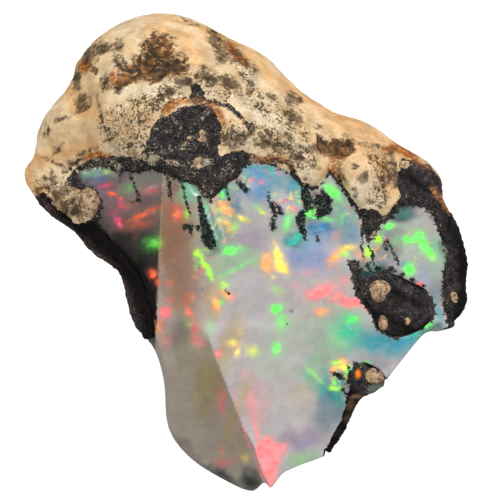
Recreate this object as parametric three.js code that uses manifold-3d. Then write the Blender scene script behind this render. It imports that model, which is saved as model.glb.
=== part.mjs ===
// A rough precious opal still sitting in its host rock: a nodule of pale volcanic rock, broken open
// so that the opal filling shows on one side. It lies on a flat break in its underside.
//
// Two solids that meet along the wall of the old cavity:
//   host_rock  the rounded rind, the dark skin round the back, and the crust that crosses the opal
//   opal       the filling, with one broad facet, a blade running down to a tip, and a darker flank
//
// Everything is drawn in the frame of the broken face, in millimetres: u to the right, v up the
// face, w out of it. At the end the stone is leaned back and stood on its foot, with +Z up.

import * as THREE from 'three';
import { mergeVertices } from 'three/addons/utils/BufferGeometryUtils.js';
import Module from 'manifold-3d';

// ---------------------------------------------------------------- driving dimensions

const LEAN_DEG = 68; // how far the broken face leans back from upright
const FOOT_DROP = 12; // from the middle of the face straight down to the foot
const FACE_MIDDLE = [0.4, -0.1]; // where it stands, [x, y], for an origin under the stone's middle
const SEAM_GAP = 0.3; // clearance between the rock and the opal

// The rim: the widest line round the stone, seen square on to the face, as [u, v, w].
const RIM = [
  [-18.2, 6.6, -1.5], [-17.3, 7.3, -1.5], [-16.9, 9.3, -2.0], [-16.2, 11.2, -2.5],
  [-14.6, 13.0, -3.0], [-14.0, 14.9, -3.2], [-12.6, 16.8, -3.5], [-10.6, 18.1, -4.0],
  [-7.4, 19.0, -4.0], [-4.6, 18.6, -4.0], [-1.2, 16.7, -3.5], [1.0, 15.6, -3.5],
  [4.0, 12.7, -3.0], [7.4, 10.6, -2.5], [8.8, 10.4, -2.5], [12.0, 8.2, -2.0],
  [14.0, 7.1, -1.5], [15.4, 5.4, -1.0], [15.2, 4.5, -0.8], [16.8, 1.6, -0.5],
  [17.4, -1.0, 0.0], [17.1, -2.4, 0.0], [17.4, -4.0, 0.2], [16.5, -5.6, 0.8],
  [15.4, -6.4, 1.5], [14.2, -6.5, 2.2], [12.8, -8.0, 2.2], [11.5, -9.6, 2.0],
  [10.3, -11.0, 2.0], [8.9, -11.5, 2.0], [8.1, -13.0, 2.2], [7.4, -14.6, 2.6],
  [6.4, -16.2, 3.2], [4.0, -17.2, 4.0], [2.4, -18.0, 4.6], [1.8, -19.1, 4.8],
  [1.2, -18.6, 2.5], [0.0, -19.4, -1.6], [-2.0, -18.5, -2.0], [-4.8, -16.7, -1.5],
  [-6.5, -14.4, -0.6], [-6.9, -10.4, 0.8], [-7.6, -8.0, 1.2], [-9.2, -5.8, -0.4],
  [-9.8, -3.6, -1.0], [-10.4, -1.5, -1.6], [-12.4, -0.3, -2.0], [-13.6, 1.4, -2.0],
  [-15.6, 2.7, -2.0], [-17.2, 4.2, -1.5],
];

// The mouth of the opal-filled cavity, as [u, v]. It runs outside the rim where the opal
// itself makes the stone's edge.
const MOUTH_HEART = [-0.5, -3.5];
const MOUTH = [
  [-14.0, 5.9], [-13.2, 6.6], [-11.0, 6.7], [-8.6, 6.3], [-6.6, 6.0], [-5.2, 5.7],
  [-3.5, 4.2], [-2.2, 5.1], [-1.0, 6.0], [-0.2, 6.9], [1.2, 7.1], [2.8, 6.4], [4.2, 5.2],
  [5.2, 5.0], [5.8, 5.4], [6.6, 5.6], [7.2, 4.8], [8.6, 3.4], [9.8, 2.9], [11.6, 3.3],
  [13.2, 3.6], [14.4, 2.6], [15.1, 0.6], [15.6, -1.2], [15.4, -3.4], [15.6, -5.0],
  [16.6, -8.0], [14.6, -12.0], [11.0, -12.6], [8.4, -11.8], [7.2, -13.4], [6.2, -15.0],
  [6.2, -19.0], [3.0, -23.0], [-3.0, -23.0], [-9.4, -18.6], [-10.8, -12.8], [-10.0, -8.4],
  [-7.8, -6.6], [-8.2, -4.6], [-8.9, -2.2], [-10.4, -0.2], [-11.6, 1.2], [-12.1, 3.0],
  [-12.6, 4.6],
];
const CAVITY_FLOOR = -3.5; // w of the cavity's floor under the middle of the face
const CAVITY_TILT = 0.2; // the floor rises this much per millimetre to the right

// Crust that reaches up through the opal from the rock behind, as [u, v] outlines.
const CRUST_ISLAND = [
  [8.0, -1.0], [9.0, -1.6], [10.8, -1.9], [12.4, -2.5], [14.2, -3.5], [14.6, -4.8],
  [13.6, -6.2], [11.4, -6.8], [10.4, -6.2], [9.6, -4.6], [8.7, -3.2],
];
const CRUST_SPUR = [
  [6.8, -10.0], [7.6, -9.2], [8.8, -9.0], [10.4, -9.8], [10.7, -10.6], [9.6, -13.0],
  [7.8, -12.6], [7.2, -11.2],
];
// A narrow seam of crust that ties the island to the rind above it. The opal runs on beneath it.
const CRUST_SEAM = [
  [8.6, 5.0], [10.4, 4.6], [10.2, 2.2], [10.2, 0.4], [9.8, -2.6], [8.9, -2.6], [9.0, 0.4],
  [9.0, 2.4],
];
const SEAM_DEPTH = 1.5; // how deep the seam of crust goes below the opal's face
const CRUST_ROOT = -8; // w where the pillars of crust end inside the rock
const CRUST_PROUD = 0.45; // how far the crust stands out of the opal's face

// Pale knobs of rock that stand out of the crust and the rim: [u, v, radius, tallness].
const KNOBS = [
  [10.4, -3.2, 0.8, 1.1], [10.6, -5.7, 0.42, 1.5], [12.5, -5.6, 0.4, 1.0], [12.6, -4.9, 0.3, 1.0],
  [10.0, -10.1, 0.55, 0.9], [16.4, -3.7, 0.5, 1.4], [-12.8, 3.6, 0.75, 1.7],
];

const CRUST_SHOULDER = 0.45; // the rind climbs this much higher over the face
const SHOULDER_RUN = 1.2; // within this distance of the mouth, and then rounds away

// Hollows and swellings of the rind, as [u, v, radius, height], each a smooth bump.
const RIND_FORMS = [
  [-9.6, 10.2, 3.0, 0.7], // the swelling beside the arch of dark crust
  [-4.8, 9.4, 2.8, -1.2], // the arch of dark crust
  [-0.8, 9.0, 1.6, 0.6], // the lobe on its right
  [-8.0, 15.2, 2.6, -0.8], // the brown hollow above it
  [-2.6, 13.4, 2.2, 0.5], // the swelling between them
  [6.8, 8.1, 1.7, -0.8], // the rusty hollow in the right shoulder
  [3.4, 9.0, 1.8, 0.4], // the swelling above the small lobe
  [9.6, 5.4, 2.0, 0.7], // the lobe that hangs over the opal
  [-13.4, 11.7, 1.1, -0.6], // the small brown pit
  [-15.6, 7.4, 1.6, 0.5], // the left end
  [13.8, 4.6, 1.6, -0.6], // the dark hollow at the right end
];

// The back is worn to broad blunt breaks: the way each faces as [u, v, w], how far out it lies, and
// how much of the roundness beyond it is kept.
const BACK_BREAKS = [
  { facing: [0.2, 0.7, -0.68], reach: 13.4, keep: 0.25 },
  { facing: [-0.66, 0.3, -0.69], reach: 13.0, keep: 0.3 },
  { facing: [0.72, 0.1, -0.69], reach: 12.8, keep: 0.3 },
  { facing: [-0.45, -0.62, -0.64], reach: 11.6, keep: 0.35 },
  { facing: [0.42, -0.66, -0.62], reach: 11.4, keep: 0.3 },
];
const BACK_HEART = [0, 0.4];
const BACK_SWELL = 13.5; // how far the back swells out behind the rim
const BACK_ROUND = 15; // radius that the back's sections settle to, away from the rim
const OPAL_SWELL = 9; // and how far the opal did in front of it, before it broke

// How the sections turn down towards their edge: how late, and how sharply at the end.
const RIND_SECTION = { late: 2.2, sharp: 0.6 };
const BACK_SECTION = { late: 2.8, sharp: 0.5 };
const CAVITY_SECTION = { late: 6, sharp: 0.5 };

const CRUST_GRAIN = 0.12; // how rough the crust's own top is
const BLEND_NEAREST = 0.3; // points of a ring closer than this count alike in a blend
const BLEND_FAVOUR = 4; // how strongly a blend favours the closest points

// How finely the solids are faceted.
const ROUND_STEPS = 120;
const RIND_RINGS = 11;
const BACK_RINGS = 10;
const OPAL_RINGS = 6;
const MOUTH_STEPS = 92;
const CAVITY_RINGS = 5;
const NARROWEST_RIND = 0.96; // share of the way to the rim where the rind starts at the latest
const CUTTER_TOP = 20; // w well clear of the stone
const CUTTER_BOX = 60;

// ---------------------------------------------------------------- small helpers

const { clamp, degToRad, lerp } = THREE.MathUtils;
const smooth = (x) => THREE.MathUtils.smoothstep(x, 0, 1);

const wasm = await Module();
wasm.setup();

function solidOf(geometry) {
  const bare = geometry.clone();
  bare.deleteAttribute('normal');
  bare.deleteAttribute('uv');
  const merged = mergeVertices(bare, 1e-4);
  return new wasm.Manifold(new wasm.Mesh({
    numProp: 3,
    vertProperties: merged.attributes.position.array,
    triVerts: new Uint32Array(merged.index.array),
  }));
}

function geometryOf(solid) {
  const { vertProperties, triVerts, numProp, numVert } = solid.getMesh();
  const positions = new Float32Array(numVert * 3);
  for (let i = 0; i < numVert; i += 1) {
    positions.set(vertProperties.subarray(i * numProp, i * numProp + 3), i * 3);
  }
  return indexed(positions, triVerts);
}

function indexed(positions, corners) {
  const geometry = new THREE.BufferGeometry();
  geometry.setAttribute('position', new THREE.Float32BufferAttribute(positions, 3));
  geometry.setIndex(Array.from(corners));
  return geometry;
}

// Skins a closed solid over rings of equal count, from the topmost point down to the lowest. The
// rings run anticlockwise seen from above. Each patch is folded along its shorter diagonal.
function loft(first, rings, last) {
  const count = rings[0].length;
  const points = [first, ...rings.flat(), last];
  const at = (ring, step) => 1 + ring * count + (step % count);
  const end = points.length - 1;
  const apart = (a, b) => Math.hypot(...points[a].map((value, axis) => value - points[b][axis]));
  const faces = [];
  for (let step = 0; step < count; step += 1) {
    faces.push([0, at(0, step), at(0, step + 1)]);
    faces.push([end, at(rings.length - 1, step + 1), at(rings.length - 1, step)]);
    for (let ring = 0; ring + 1 < rings.length; ring += 1) {
      const [a, b] = [at(ring, step), at(ring + 1, step)];
      const [c, d] = [at(ring + 1, step + 1), at(ring, step + 1)];
      if (apart(a, c) < apart(b, d)) faces.push([a, b, c], [a, c, d]);
      else faces.push([a, b, d], [b, c, d]);
    }
  }
  return solidOf(indexed(points.flat(), faces.flat()));
}

// Evenly spaced points of a smooth closed line through the given ones, anticlockwise.
function smoothRing(points, steps) {
  const knots = points.map(([u, v, w = 0]) => new THREE.Vector3(u, v, w));
  const curve = new THREE.CatmullRomCurve3(knots, true, 'centripetal');
  const ring = curve.getSpacedPoints(steps).slice(0, steps).map((p) => p.toArray());
  const flat = ring.map(([u, v]) => new THREE.Vector2(u, v));
  return THREE.ShapeUtils.area(flat) > 0 ? ring : ring.reverse();
}

// Moves every point of an anticlockwise ring outwards, across the ring, by a distance.
function offsetRing(ring, distance) {
  return ring.map(([u, v, w], i) => {
    const before = ring[(i + ring.length - 1) % ring.length];
    const after = ring[(i + 1) % ring.length];
    const along = new THREE.Vector2(after[0] - before[0], after[1] - before[1]).normalize();
    return [u + along.y * distance, v - along.x * distance, w];
  });
}

// How far a ring lies from a heart point, on the line from there through [u, v].
function reachThrough(ring, [heartU, heartV], [u, v]) {
  const way = new THREE.Vector2(u - heartU, v - heartV).normalize();
  let reach = 0;
  ring.forEach(([au, av], i) => {
    const [bu, bv] = ring[(i + 1) % ring.length];
    const side = new THREE.Vector2(bu - au, bv - av);
    const cross = way.x * side.y - way.y * side.x;
    const start = new THREE.Vector2(au - heartU, av - heartV);
    const along = (start.x * side.y - start.y * side.x) / cross;
    const across = (start.x * way.y - start.y * way.x) / cross;
    if (across >= 0 && across <= 1 && along > reach) reach = along;
  });
  return reach;
}

// How far [u, v] is from the nearest point of a closed ring.
function distanceTo(ring, u, v) {
  return Math.min(...ring.map(([au, av], i) => {
    const [bu, bv] = ring[(i + 1) % ring.length];
    const length = Math.hypot(bu - au, bv - av);
    const along = clamp(((u - au) * (bu - au) + (v - av) * (bv - av)) / length ** 2, 0, 1);
    return Math.hypot(u - lerp(au, bu, along), v - lerp(av, bv, along));
  }));
}

// The height of a ring near [u, v]: an average of its points that favours the closest ones.
function heightNear(ring, u, v, heightOf) {
  const away = ([pu, pv]) => Math.max(Math.hypot(u - pu, v - pv), BLEND_NEAREST);
  const weights = ring.map((point) => away(point) ** -BLEND_FAVOUR);
  const total = weights.reduce((sum, weight) => sum + weight);
  return ring.reduce((sum, point, i) => sum + heightOf(point) * weights[i], 0) / total;
}

const middleOf = (ring) => ring.reduce(
  ([su, sv], [u, v]) => [su + u / ring.length, sv + v / ring.length],
  [0, 0],
);

// ---------------------------------------------------------------- the broken face

const SHOULDER_V = 4; // the level on the face where the crest and the ridge stand at their own u
const RIDGE_DRIFT = 0.05; // below it they drift this much to the left per millimetre
const CREST_U = -3.4;
const CREST_BEND_V = -6.5; // below this the crest slants to the tip
const CREST_SLANT = 0.4; // by this much to the right per millimetre
const CREST_TOP = { v: 8, w: 6.6 };
const CREST_SAG = { drop: 1.7, length: 27 }; // how far the crest bows down to the tip
const SHADED_RIDGE_U = -7.0;

// The crest that parts the broad facet from the flank: it runs straight down the upper face
// and slants to the tip below.
const crestU = (v) => CREST_U + CREST_SLANT * Math.max(0, CREST_BEND_V - v)
  + RIDGE_DRIFT * Math.min(0, v - SHOULDER_V);
const crestW = (v) => CREST_TOP.w - CREST_SAG.drop * ((CREST_TOP.v - v) / CREST_SAG.length) ** 2;
// The second ridge, between the flank and the shaded facet on the left.
const ridgeU = (v) => SHADED_RIDGE_U + RIDGE_DRIFT * (v - SHOULDER_V);

const BROAD_FALL = 0.23; // the broad facet falls this much per millimetre to the right
const BROAD_HOLLOW = { depth: 0.35, width: 15 }; // and is dished
const FLANK_FALL = 0.33; // the flank falls this much per millimetre to the left
const SHADE_FALL = 0.75; // the shaded facet falls this much
const SHADE_TWIST = 0.06; // and so much more per millimetre below the shoulder
const CLIFF_HEIGHT = 4.6; // the step under the blade, at its tip
const CLIFF_RUN = 0.55; // how quickly it drops
const CLIFF_START = { v: -5, length: 14 }; // where the step begins, and how long it takes to grow
const WINDOW_DROP = 0.6; // the little window on the right lies this much lower
const WINDOW_CORNER = { u: 9.0, v: -6, across: 1.4, up: 2 }; // where its step lies, and how wide it is

function broadFacet(u, v) {
  const run = u - crestU(v);
  const hollow = BROAD_HOLLOW.depth * Math.sin(Math.PI * clamp(run / BROAD_HOLLOW.width, 0, 1));
  const right = smooth((u - WINDOW_CORNER.u) / WINDOW_CORNER.across);
  const step = WINDOW_DROP * right * smooth((v - WINDOW_CORNER.v) / WINDOW_CORNER.up);
  return crestW(v) - BROAD_FALL * run - hollow - step;
}

function flank(u, v) {
  const run = Math.max(0, crestU(v) - u);
  const shaded = Math.max(0, ridgeU(v) - u);
  const shadeFall = SHADE_FALL + SHADE_TWIST * Math.max(0, SHOULDER_V - v) - FLANK_FALL;
  const grown = CLIFF_HEIGHT * smooth((CLIFF_START.v - v) / CLIFF_START.length);
  const cliff = grown * (1 - Math.exp(-run / CLIFF_RUN));
  return crestW(v) - FLANK_FALL * run - shadeFall * shaded - cliff;
}

const faceW = (u, v) => (u > crestU(v) ? broadFacet(u, v) : flank(u, v));

// The rows and columns of the net that is cut to the broken face.
const FACE_ROWS = { top: 12, apart: 1.6, count: 23 };
const FACE_SIDE = 22; // its outermost columns stand this far out on either side
const SHADED_COLUMNS = [0, 0.55, 0.8, 0.92]; // shares of the way from the left side to the ridge
const FLANK_COLUMNS = [0, 0.4, 0.7]; // and from the ridge to the crest
const CLIFF_COLUMNS = [-0.7, -0.3, 0]; // millimetres from the crest, where the step drops
const BROAD_COLUMNS = [0.2, 0.4, 0.6, 0.8, 1]; // shares from the crest to the little window
const WINDOW_COLUMNS = [0.7, 1.4, 5]; // millimetres into it

// Everything above the broken face, as a solid to cut away. Its columns follow the two ridges,
// so that their edges stay sharp.
function aboveFace() {
  const { top, apart, count } = FACE_ROWS;
  const rows = Array.from({ length: count }, (_, i) => top - apart * i);
  const columns = (v) => {
    const [crest, ridge] = [crestU(v), ridgeU(v)];
    return [
      ...SHADED_COLUMNS.map((share) => lerp(-FACE_SIDE, ridge, share)),
      ...FLANK_COLUMNS.map((share) => lerp(ridge, crest, share)),
      ...CLIFF_COLUMNS.map((beside) => crest + beside),
      ...BROAD_COLUMNS.map((share) => lerp(crest, WINDOW_CORNER.u, share)),
      ...WINDOW_COLUMNS.map((beyond) => WINDOW_CORNER.u + beyond),
      FACE_SIDE,
    ];
  };
  const lower = rows.map((v) => columns(v).map((u) => [u, v, faceW(u, v)]));
  const upper = rows.map((v) => columns(v).map((u) => [u, v, CUTTER_TOP]));
  const wide = lower[0].length;
  const tall = rows.length;
  const low = (row, column) => row * wide + column;
  const high = (row, column) => wide * tall + low(row, column);
  const faces = [];
  const quad = (a, b, c, d) => faces.push([a, b, c], [a, c, d]);
  for (let r = 0; r + 1 < tall; r += 1) {
    quad(low(r, 0), low(r + 1, 0), high(r + 1, 0), high(r, 0));
    quad(low(r, wide - 1), high(r, wide - 1), high(r + 1, wide - 1), low(r + 1, wide - 1));
    for (let c = 0; c + 1 < wide; c += 1) {
      quad(low(r, c), low(r, c + 1), low(r + 1, c + 1), low(r + 1, c));
      quad(high(r, c), high(r + 1, c), high(r + 1, c + 1), high(r, c + 1));
    }
  }
  for (let c = 0; c + 1 < wide; c += 1) {
    quad(low(0, c), high(0, c), high(0, c + 1), low(0, c + 1));
    quad(low(tall - 1, c), low(tall - 1, c + 1), high(tall - 1, c + 1), high(tall - 1, c));
  }
  return solidOf(indexed([...lower.flat(), ...upper.flat()].flat(), faces.flat()));
}

// ---------------------------------------------------------------- the nodule

const rim = smoothRing(RIM, ROUND_STEPS);
const mouth = smoothRing(MOUTH, MOUTH_STEPS);

// Slow waves that keep the rind from looking turned on a lathe.
const waves = (u, v, w) => 0.35 * Math.sin(0.55 * u + 0.4 * v + 1)
  + 0.3 * Math.sin(0.75 * v - 0.5 * w + 2)
  + 0.22 * Math.sin(1.3 * u - 0.9 * v + 0.7 * w);

// How high a section stands, a share of the way out to its edge.
const section = (share, { late, sharp }) => (1 - share ** late) ** sharp;

const rindForms = (u, v) => RIND_FORMS.reduce(
  (sum, [cu, cv, radius, height]) => {
    const away = Math.hypot(u - cu, v - cv) / radius;
    return sum + height * Math.exp(-(away ** 3));
  },
  0,
);

// The rind at a point between the mouth and the rim: it climbs over the edge of the face, then
// rounds away.
function rindW(u, v) {
  const [inside, outside] = [distanceTo(mouth, u, v), distanceTo(rim, u, v)];
  const share = inside / (inside + outside);
  const shoulder = CRUST_SHOULDER * smooth(inside / SHOULDER_RUN);
  const crest = heightNear(mouth, u, v, ([mu, mv]) => faceW(mu, mv)) + CRUST_PROUD + shoulder;
  const edge = heightNear(rim, u, v, ([, , w]) => w);
  const worn = (waves(u, v, 4) + rindForms(u, v)) * smooth(inside / 2) * (1 - share ** 4);
  return lerp(edge, crest, section(share, RIND_SECTION)) + worn;
}

// One point of the rind, a share of the way from the mouth to a point of the rim.
function rindPoint(share, [rimU, rimV]) {
  const [heartU, heartV] = MOUTH_HEART;
  const whole = Math.hypot(rimU - heartU, rimV - heartV);
  const lip = Math.min(reachThrough(mouth, MOUTH_HEART, [rimU, rimV]) / whole, NARROWEST_RIND);
  const place = lerp(lip, 1, share);
  const [u, v] = [lerp(heartU, rimU, place), lerp(heartV, rimV, place)];
  return [u, v, rindW(u, v)];
}

// The back from its middle (share 0) to the rim (share 1), worn down to blunt breaks.
function backPoint(share, [rimU, rimV, rimW]) {
  const [heartU, heartV] = BACK_HEART;
  const rounded = lerp(BACK_ROUND / Math.hypot(rimU - heartU, rimV - heartV), 1, share ** 2);
  const [u, v] = [lerp(heartU, rimU, share * rounded), lerp(heartV, rimV, share * rounded)];
  const swell = BACK_SWELL * section(share, BACK_SECTION);
  const w = rimW * share ** 2 - swell + waves(u, v, -swell) * (1 - share ** 4);
  const point = new THREE.Vector3(u, v, w);
  BACK_BREAKS.forEach(({ facing, reach, keep }) => {
    const normal = new THREE.Vector3(...facing).normalize();
    const beyond = Math.max(0, point.dot(normal) - reach);
    point.addScaledVector(normal, -beyond * (1 - keep) * (1 - share ** 6));
  });
  return point.toArray();
}

// The opal's front before it broke: a plain swelling inside the rim, higher than the face.
function opalPoint(share, [rimU, rimV, rimW]) {
  const [heartU, heartV] = BACK_HEART;
  const swell = OPAL_SWELL * Math.sqrt(1 - share ** 2);
  return [lerp(heartU, rimU, share), lerp(heartV, rimV, share), rimW * share ** 2 + swell];
}

// Shares of the way in from the rim, closest together at the rim.
const shares = (rings) => Array.from({ length: rings }, (_, i) => Math.sin((i / rings) * Math.PI / 2));
const backRings = () => shares(BACK_RINGS).slice(1).map((share) => rim.map((p) => backPoint(share, p)));

function noduleOf(first, frontRings) {
  return loft(first, [...frontRings, rim, ...backRings().reverse()], backPoint(0, rim[0]));
}

function rockNodule() {
  const front = shares(RIND_RINGS).map((share) => rim.map((p) => rindPoint(share, p)));
  const [heartU, heartV] = MOUTH_HEART;
  return noduleOf([heartU, heartV, faceW(heartU, heartV) + CRUST_PROUD], front);
}

function opalNodule() {
  const front = shares(OPAL_RINGS).slice(1).map((share) => rim.map((p) => opalPoint(share, p)));
  return noduleOf(opalPoint(0, rim[0]), front);
}

// The box that cuts the stone's foot flat.
function footCutter() {
  const lean = degToRad(LEAN_DEG);
  const down = new THREE.Vector3(0, -Math.cos(lean), -Math.sin(lean));
  const geometry = new THREE.BoxGeometry(CUTTER_BOX, CUTTER_BOX, CUTTER_BOX);
  geometry.translate(0, 0, FOOT_DROP + CUTTER_BOX / 2);
  geometry.applyQuaternion(new THREE.Quaternion().setFromUnitVectors(new THREE.Vector3(0, 0, 1), down));
  return solidOf(geometry);
}

// ---------------------------------------------------------------- the cavity and its crust

// The cavity as a solid that reaches up through the face, grown or shrunk all round by a margin.
function cavity(margin) {
  const grown = offsetRing(mouth, margin);
  const [heartU, heartV] = MOUTH_HEART;
  const floor = (u) => CAVITY_FLOOR + CAVITY_TILT * u - margin;
  const bowl = (share) => grown.map(([u, v]) => {
    const [pu, pv] = [lerp(heartU, u, share), lerp(heartV, v, share)];
    const lip = faceW(u, v) + CRUST_PROUD + 1;
    return [pu, pv, lerp(floor(pu), lip, 1 - section(share, CAVITY_SECTION))];
  });
  const inwards = Array.from({ length: CAVITY_RINGS }, (_, i) => 1 - (i / CAVITY_RINGS) ** 1.7);
  const top = grown.map(([u, v]) => [u, v, CUTTER_TOP]);
  return loft([heartU, heartV, CUTTER_TOP], [top, ...inwards.map(bowl)], [heartU, heartV, floor(heartU)]);
}

// A pillar of crust with the given outline, from its root up to a granular top.
function pillar({ outline, steps, rootOf }) {
  const ring = offsetRing(smoothRing(outline, steps), -SEAM_GAP / 2);
  const middle = middleOf(ring);
  const level = (share) => ring.map(([u, v]) => {
    const [pu, pv] = [lerp(middle[0], u, share), lerp(middle[1], v, share)];
    const grains = CRUST_GRAIN * Math.sin(3.1 * pu + 1) * Math.sin(2.7 * pv);
    return [pu, pv, faceW(pu, pv) + CRUST_PROUD * (1 - share ** 4) + grains * (1 - share)];
  });
  const root = ring.map(([u, v]) => [u, v, rootOf(u, v) + SEAM_GAP / 2]);
  const top = [...middle, faceW(...middle) + CRUST_PROUD];
  return loft(top, [level(0.45), level(0.8), level(1), root], [...middle, rootOf(...middle) + SEAM_GAP / 2]);
}

// The slot that a pillar of crust fills in the opal.
function slot({ outline, steps, rootOf, through }) {
  const ring = offsetRing(smoothRing(outline, steps), SEAM_GAP / 2);
  const middle = middleOf(ring);
  const floor = (u, v) => (through ? -CUTTER_TOP : rootOf(u, v) - SEAM_GAP / 2);
  const top = ring.map(([u, v]) => [u, v, CUTTER_TOP]);
  const bottom = ring.map(([u, v]) => [u, v, floor(u, v)]);
  return loft([...middle, CUTTER_TOP], [top, bottom], [...middle, floor(...middle)]);
}

const CRUSTS = [
  { outline: CRUST_ISLAND, steps: 26, rootOf: () => CRUST_ROOT, through: true },
  { outline: CRUST_SPUR, steps: 18, rootOf: () => CRUST_ROOT, through: true },
  { outline: CRUST_SEAM, steps: 22, rootOf: (u, v) => faceW(u, v) - SEAM_DEPTH, through: false },
];

function knob([u, v, radius, tallness]) {
  const geometry = new THREE.IcosahedronGeometry(radius, 1);
  geometry.scale(1, tallness, 0.9);
  geometry.translate(u, v, faceW(u, v) + CRUST_PROUD);
  return solidOf(geometry);
}

// ---------------------------------------------------------------- the two solids

const allOf = (solids) => solids.reduce((whole, solid) => whole.add(solid));

function hostRock() {
  const shell = rockNodule().subtract(cavity(SEAM_GAP / 2));
  const crust = allOf(CRUSTS.map(pillar));
  const wall = rim.map(([u, v]) => [u, v, CUTTER_TOP]);
  const inside = crust.intersect(noduleOf([...MOUTH_HEART, CUTTER_TOP], [wall]));
  return allOf([shell, inside, ...KNOBS.map(knob)]).subtract(footCutter());
}

function opal() {
  const filling = opalNodule().intersect(cavity(-SEAM_GAP / 2)).subtract(aboveFace());
  const slots = allOf(CRUSTS.map(slot));
  return filling.subtract(slots).subtract(footCutter());
}

const largestBody = (solid) => solid.decompose().sort((a, b) => b.volume() - a.volume())[0];

function mesh(name, solid, material) {
  const made = new THREE.Mesh(geometryOf(largestBody(solid)), material);
  made.name = name;
  return made;
}

const rockFinish = new THREE.MeshStandardMaterial({ color: 0xc9a67c, roughness: 0.9, metalness: 0 });
const opalFinish = new THREE.MeshStandardMaterial({ color: 0xa9aab0, roughness: 0.15, metalness: 0 });

// The face frame: u to +X, v to +Z, w to -Y, before the stone is leaned back.
const face = new THREE.Group();
face.rotation.x = Math.PI / 2;
face.add(mesh('host_rock', hostRock(), rockFinish), mesh('opal', opal(), opalFinish));

const stone = new THREE.Group();
stone.rotation.x = -degToRad(LEAN_DEG);
stone.position.set(...FACE_MIDDLE, FOOT_DROP);
stone.add(face);

const part = new THREE.Group();
part.add(stone);

export default part;
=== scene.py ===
# %% [markdown]
# # A rough precious opal in its host rock
# The stone is a nodule of pale volcanic rock, broken open so that its opal filling shows. Two
# pieces meet in it: the rock with its dark granular crust, and the opal with its play of colour.
# The fixed frame gives both as plain faceted solids. This lesson gives each one a fine skin,
# carves the relief into it, paints the markings, and lights the stone as a jeweller would.

# %% Load the fixed frame
import math

import bmesh
import bpy
import numpy as np
from mathutils import Matrix, Vector, noise
from mathutils.bvhtree import BVHTree


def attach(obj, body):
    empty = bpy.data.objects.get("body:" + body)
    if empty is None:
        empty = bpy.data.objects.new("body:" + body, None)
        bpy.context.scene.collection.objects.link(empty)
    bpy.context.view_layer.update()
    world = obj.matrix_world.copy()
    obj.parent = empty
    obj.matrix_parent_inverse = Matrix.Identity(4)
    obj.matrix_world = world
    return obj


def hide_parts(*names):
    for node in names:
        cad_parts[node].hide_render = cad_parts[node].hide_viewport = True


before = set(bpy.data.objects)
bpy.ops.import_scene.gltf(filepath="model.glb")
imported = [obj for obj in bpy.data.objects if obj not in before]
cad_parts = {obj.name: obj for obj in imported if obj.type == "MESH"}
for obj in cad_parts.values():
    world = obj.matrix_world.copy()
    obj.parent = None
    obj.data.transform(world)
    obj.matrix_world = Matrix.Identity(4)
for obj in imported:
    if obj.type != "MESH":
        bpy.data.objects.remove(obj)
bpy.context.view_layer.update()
print("nodes in the frame:", sorted(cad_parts))

# %% [markdown]
# ## Two ways to say where something is
# The stone lies on its back, so its broken face leans back by 68 degrees. It is easier to carve and
# paint along that face than along the floor, so most of this lesson speaks of u (to the right along
# the face), v (up along it) and w (out of it), in millimetres. Markings are drawn on a map of the
# face: a sheet of small squares, read across from the left edge and down from the top.

# %% The face and its map
MM = 0.001
LEAN = math.radians(68)
FACE_MIDDLE = np.array([0.4, -0.1, 12.0])
FACE_WAYS = np.array([
    [1, 0, 0],
    [0, math.sin(LEAN), math.cos(LEAN)],
    [0, -math.cos(LEAN), math.sin(LEAN)],
])
MAP_SQUARE = 0.08  # mm
MAP_MIDDLE = np.array([250, 250])


def to_face(places):
    """Places in the frame, in millimetres, as u, v and w."""
    return (places - FACE_MIDDLE) @ FACE_WAYS.T


def from_face(uvw):
    return uvw @ FACE_WAYS + FACE_MIDDLE


def on_map(points):
    """Points of the map, as squares across and down, turned into u and v."""
    points = np.asarray(points, float)[:, :2] - MAP_MIDDLE
    return points * np.array([MAP_SQUARE, -MAP_SQUARE])


print("one map square is", MAP_SQUARE, "mm")

# %% [markdown]
# ## The camera
# A stone this small is photographed from a distance with a long lens, so that near and far parts
# keep the same scale. The camera looks straight down on the broken face.

# %% Camera
CAMERA_AWAY = 0.9
FIELD = 0.040  # what the picture takes in, at the face
SENSOR = 36

camera_data = bpy.data.cameras.new("Close-up camera")
camera_data.sensor_width = SENSOR
camera_data.lens = SENSOR * CAMERA_AWAY / FIELD
camera_data.clip_start = 0.01
camera = bpy.data.objects.new("Close-up camera", camera_data)
camera.location = Vector(FACE_MIDDLE * MM) + Vector(FACE_WAYS[2]) * CAMERA_AWAY
camera.rotation_euler = (math.pi / 2 - LEAN, 0, 0)
bpy.context.scene.collection.objects.link(camera)
bpy.context.scene.camera = camera
print("lens", round(camera_data.lens), "mm")

# %% [markdown]
# ## The shape of the broken face
# Opal breaks like glass, in broad smooth shells that meet at sharp ridges. Three of them make this
# face: a broad pale facet on the right, a narrow flank left of it, and a shaded facet at the far
# left. A formula gives the height of each, so the fine skin can be laid exactly on it later. A crest
# parts the broad facet from the flank, and low on the stone it becomes a blade with a step below it.

# %% Heights of the broken face


def smooth_step(x):
    x = np.clip(x, 0, 1)
    return x * x * (3 - 2 * x)


def crest_u(v):
    return -3.4 + 0.435 * np.maximum(0, -5.6 - v) + 0.05 * np.minimum(0, v - 4)


def crest_w(v):
    return 6.6 - 1.7 * ((8 - v) / 27) ** 2


def ridge_u(v):
    return -7.0 + 0.05 * (v - 4)


def broad_facet_w(u, v):
    run = u - crest_u(v)
    hollow = 0.35 * np.sin(math.pi * np.clip(run / 15, 0, 1))
    window = 0.6 * smooth_step((u - 9.0) / 1.4) * smooth_step((v + 6) / 2)
    return crest_w(v) - 0.23 * run - hollow - window


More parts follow.
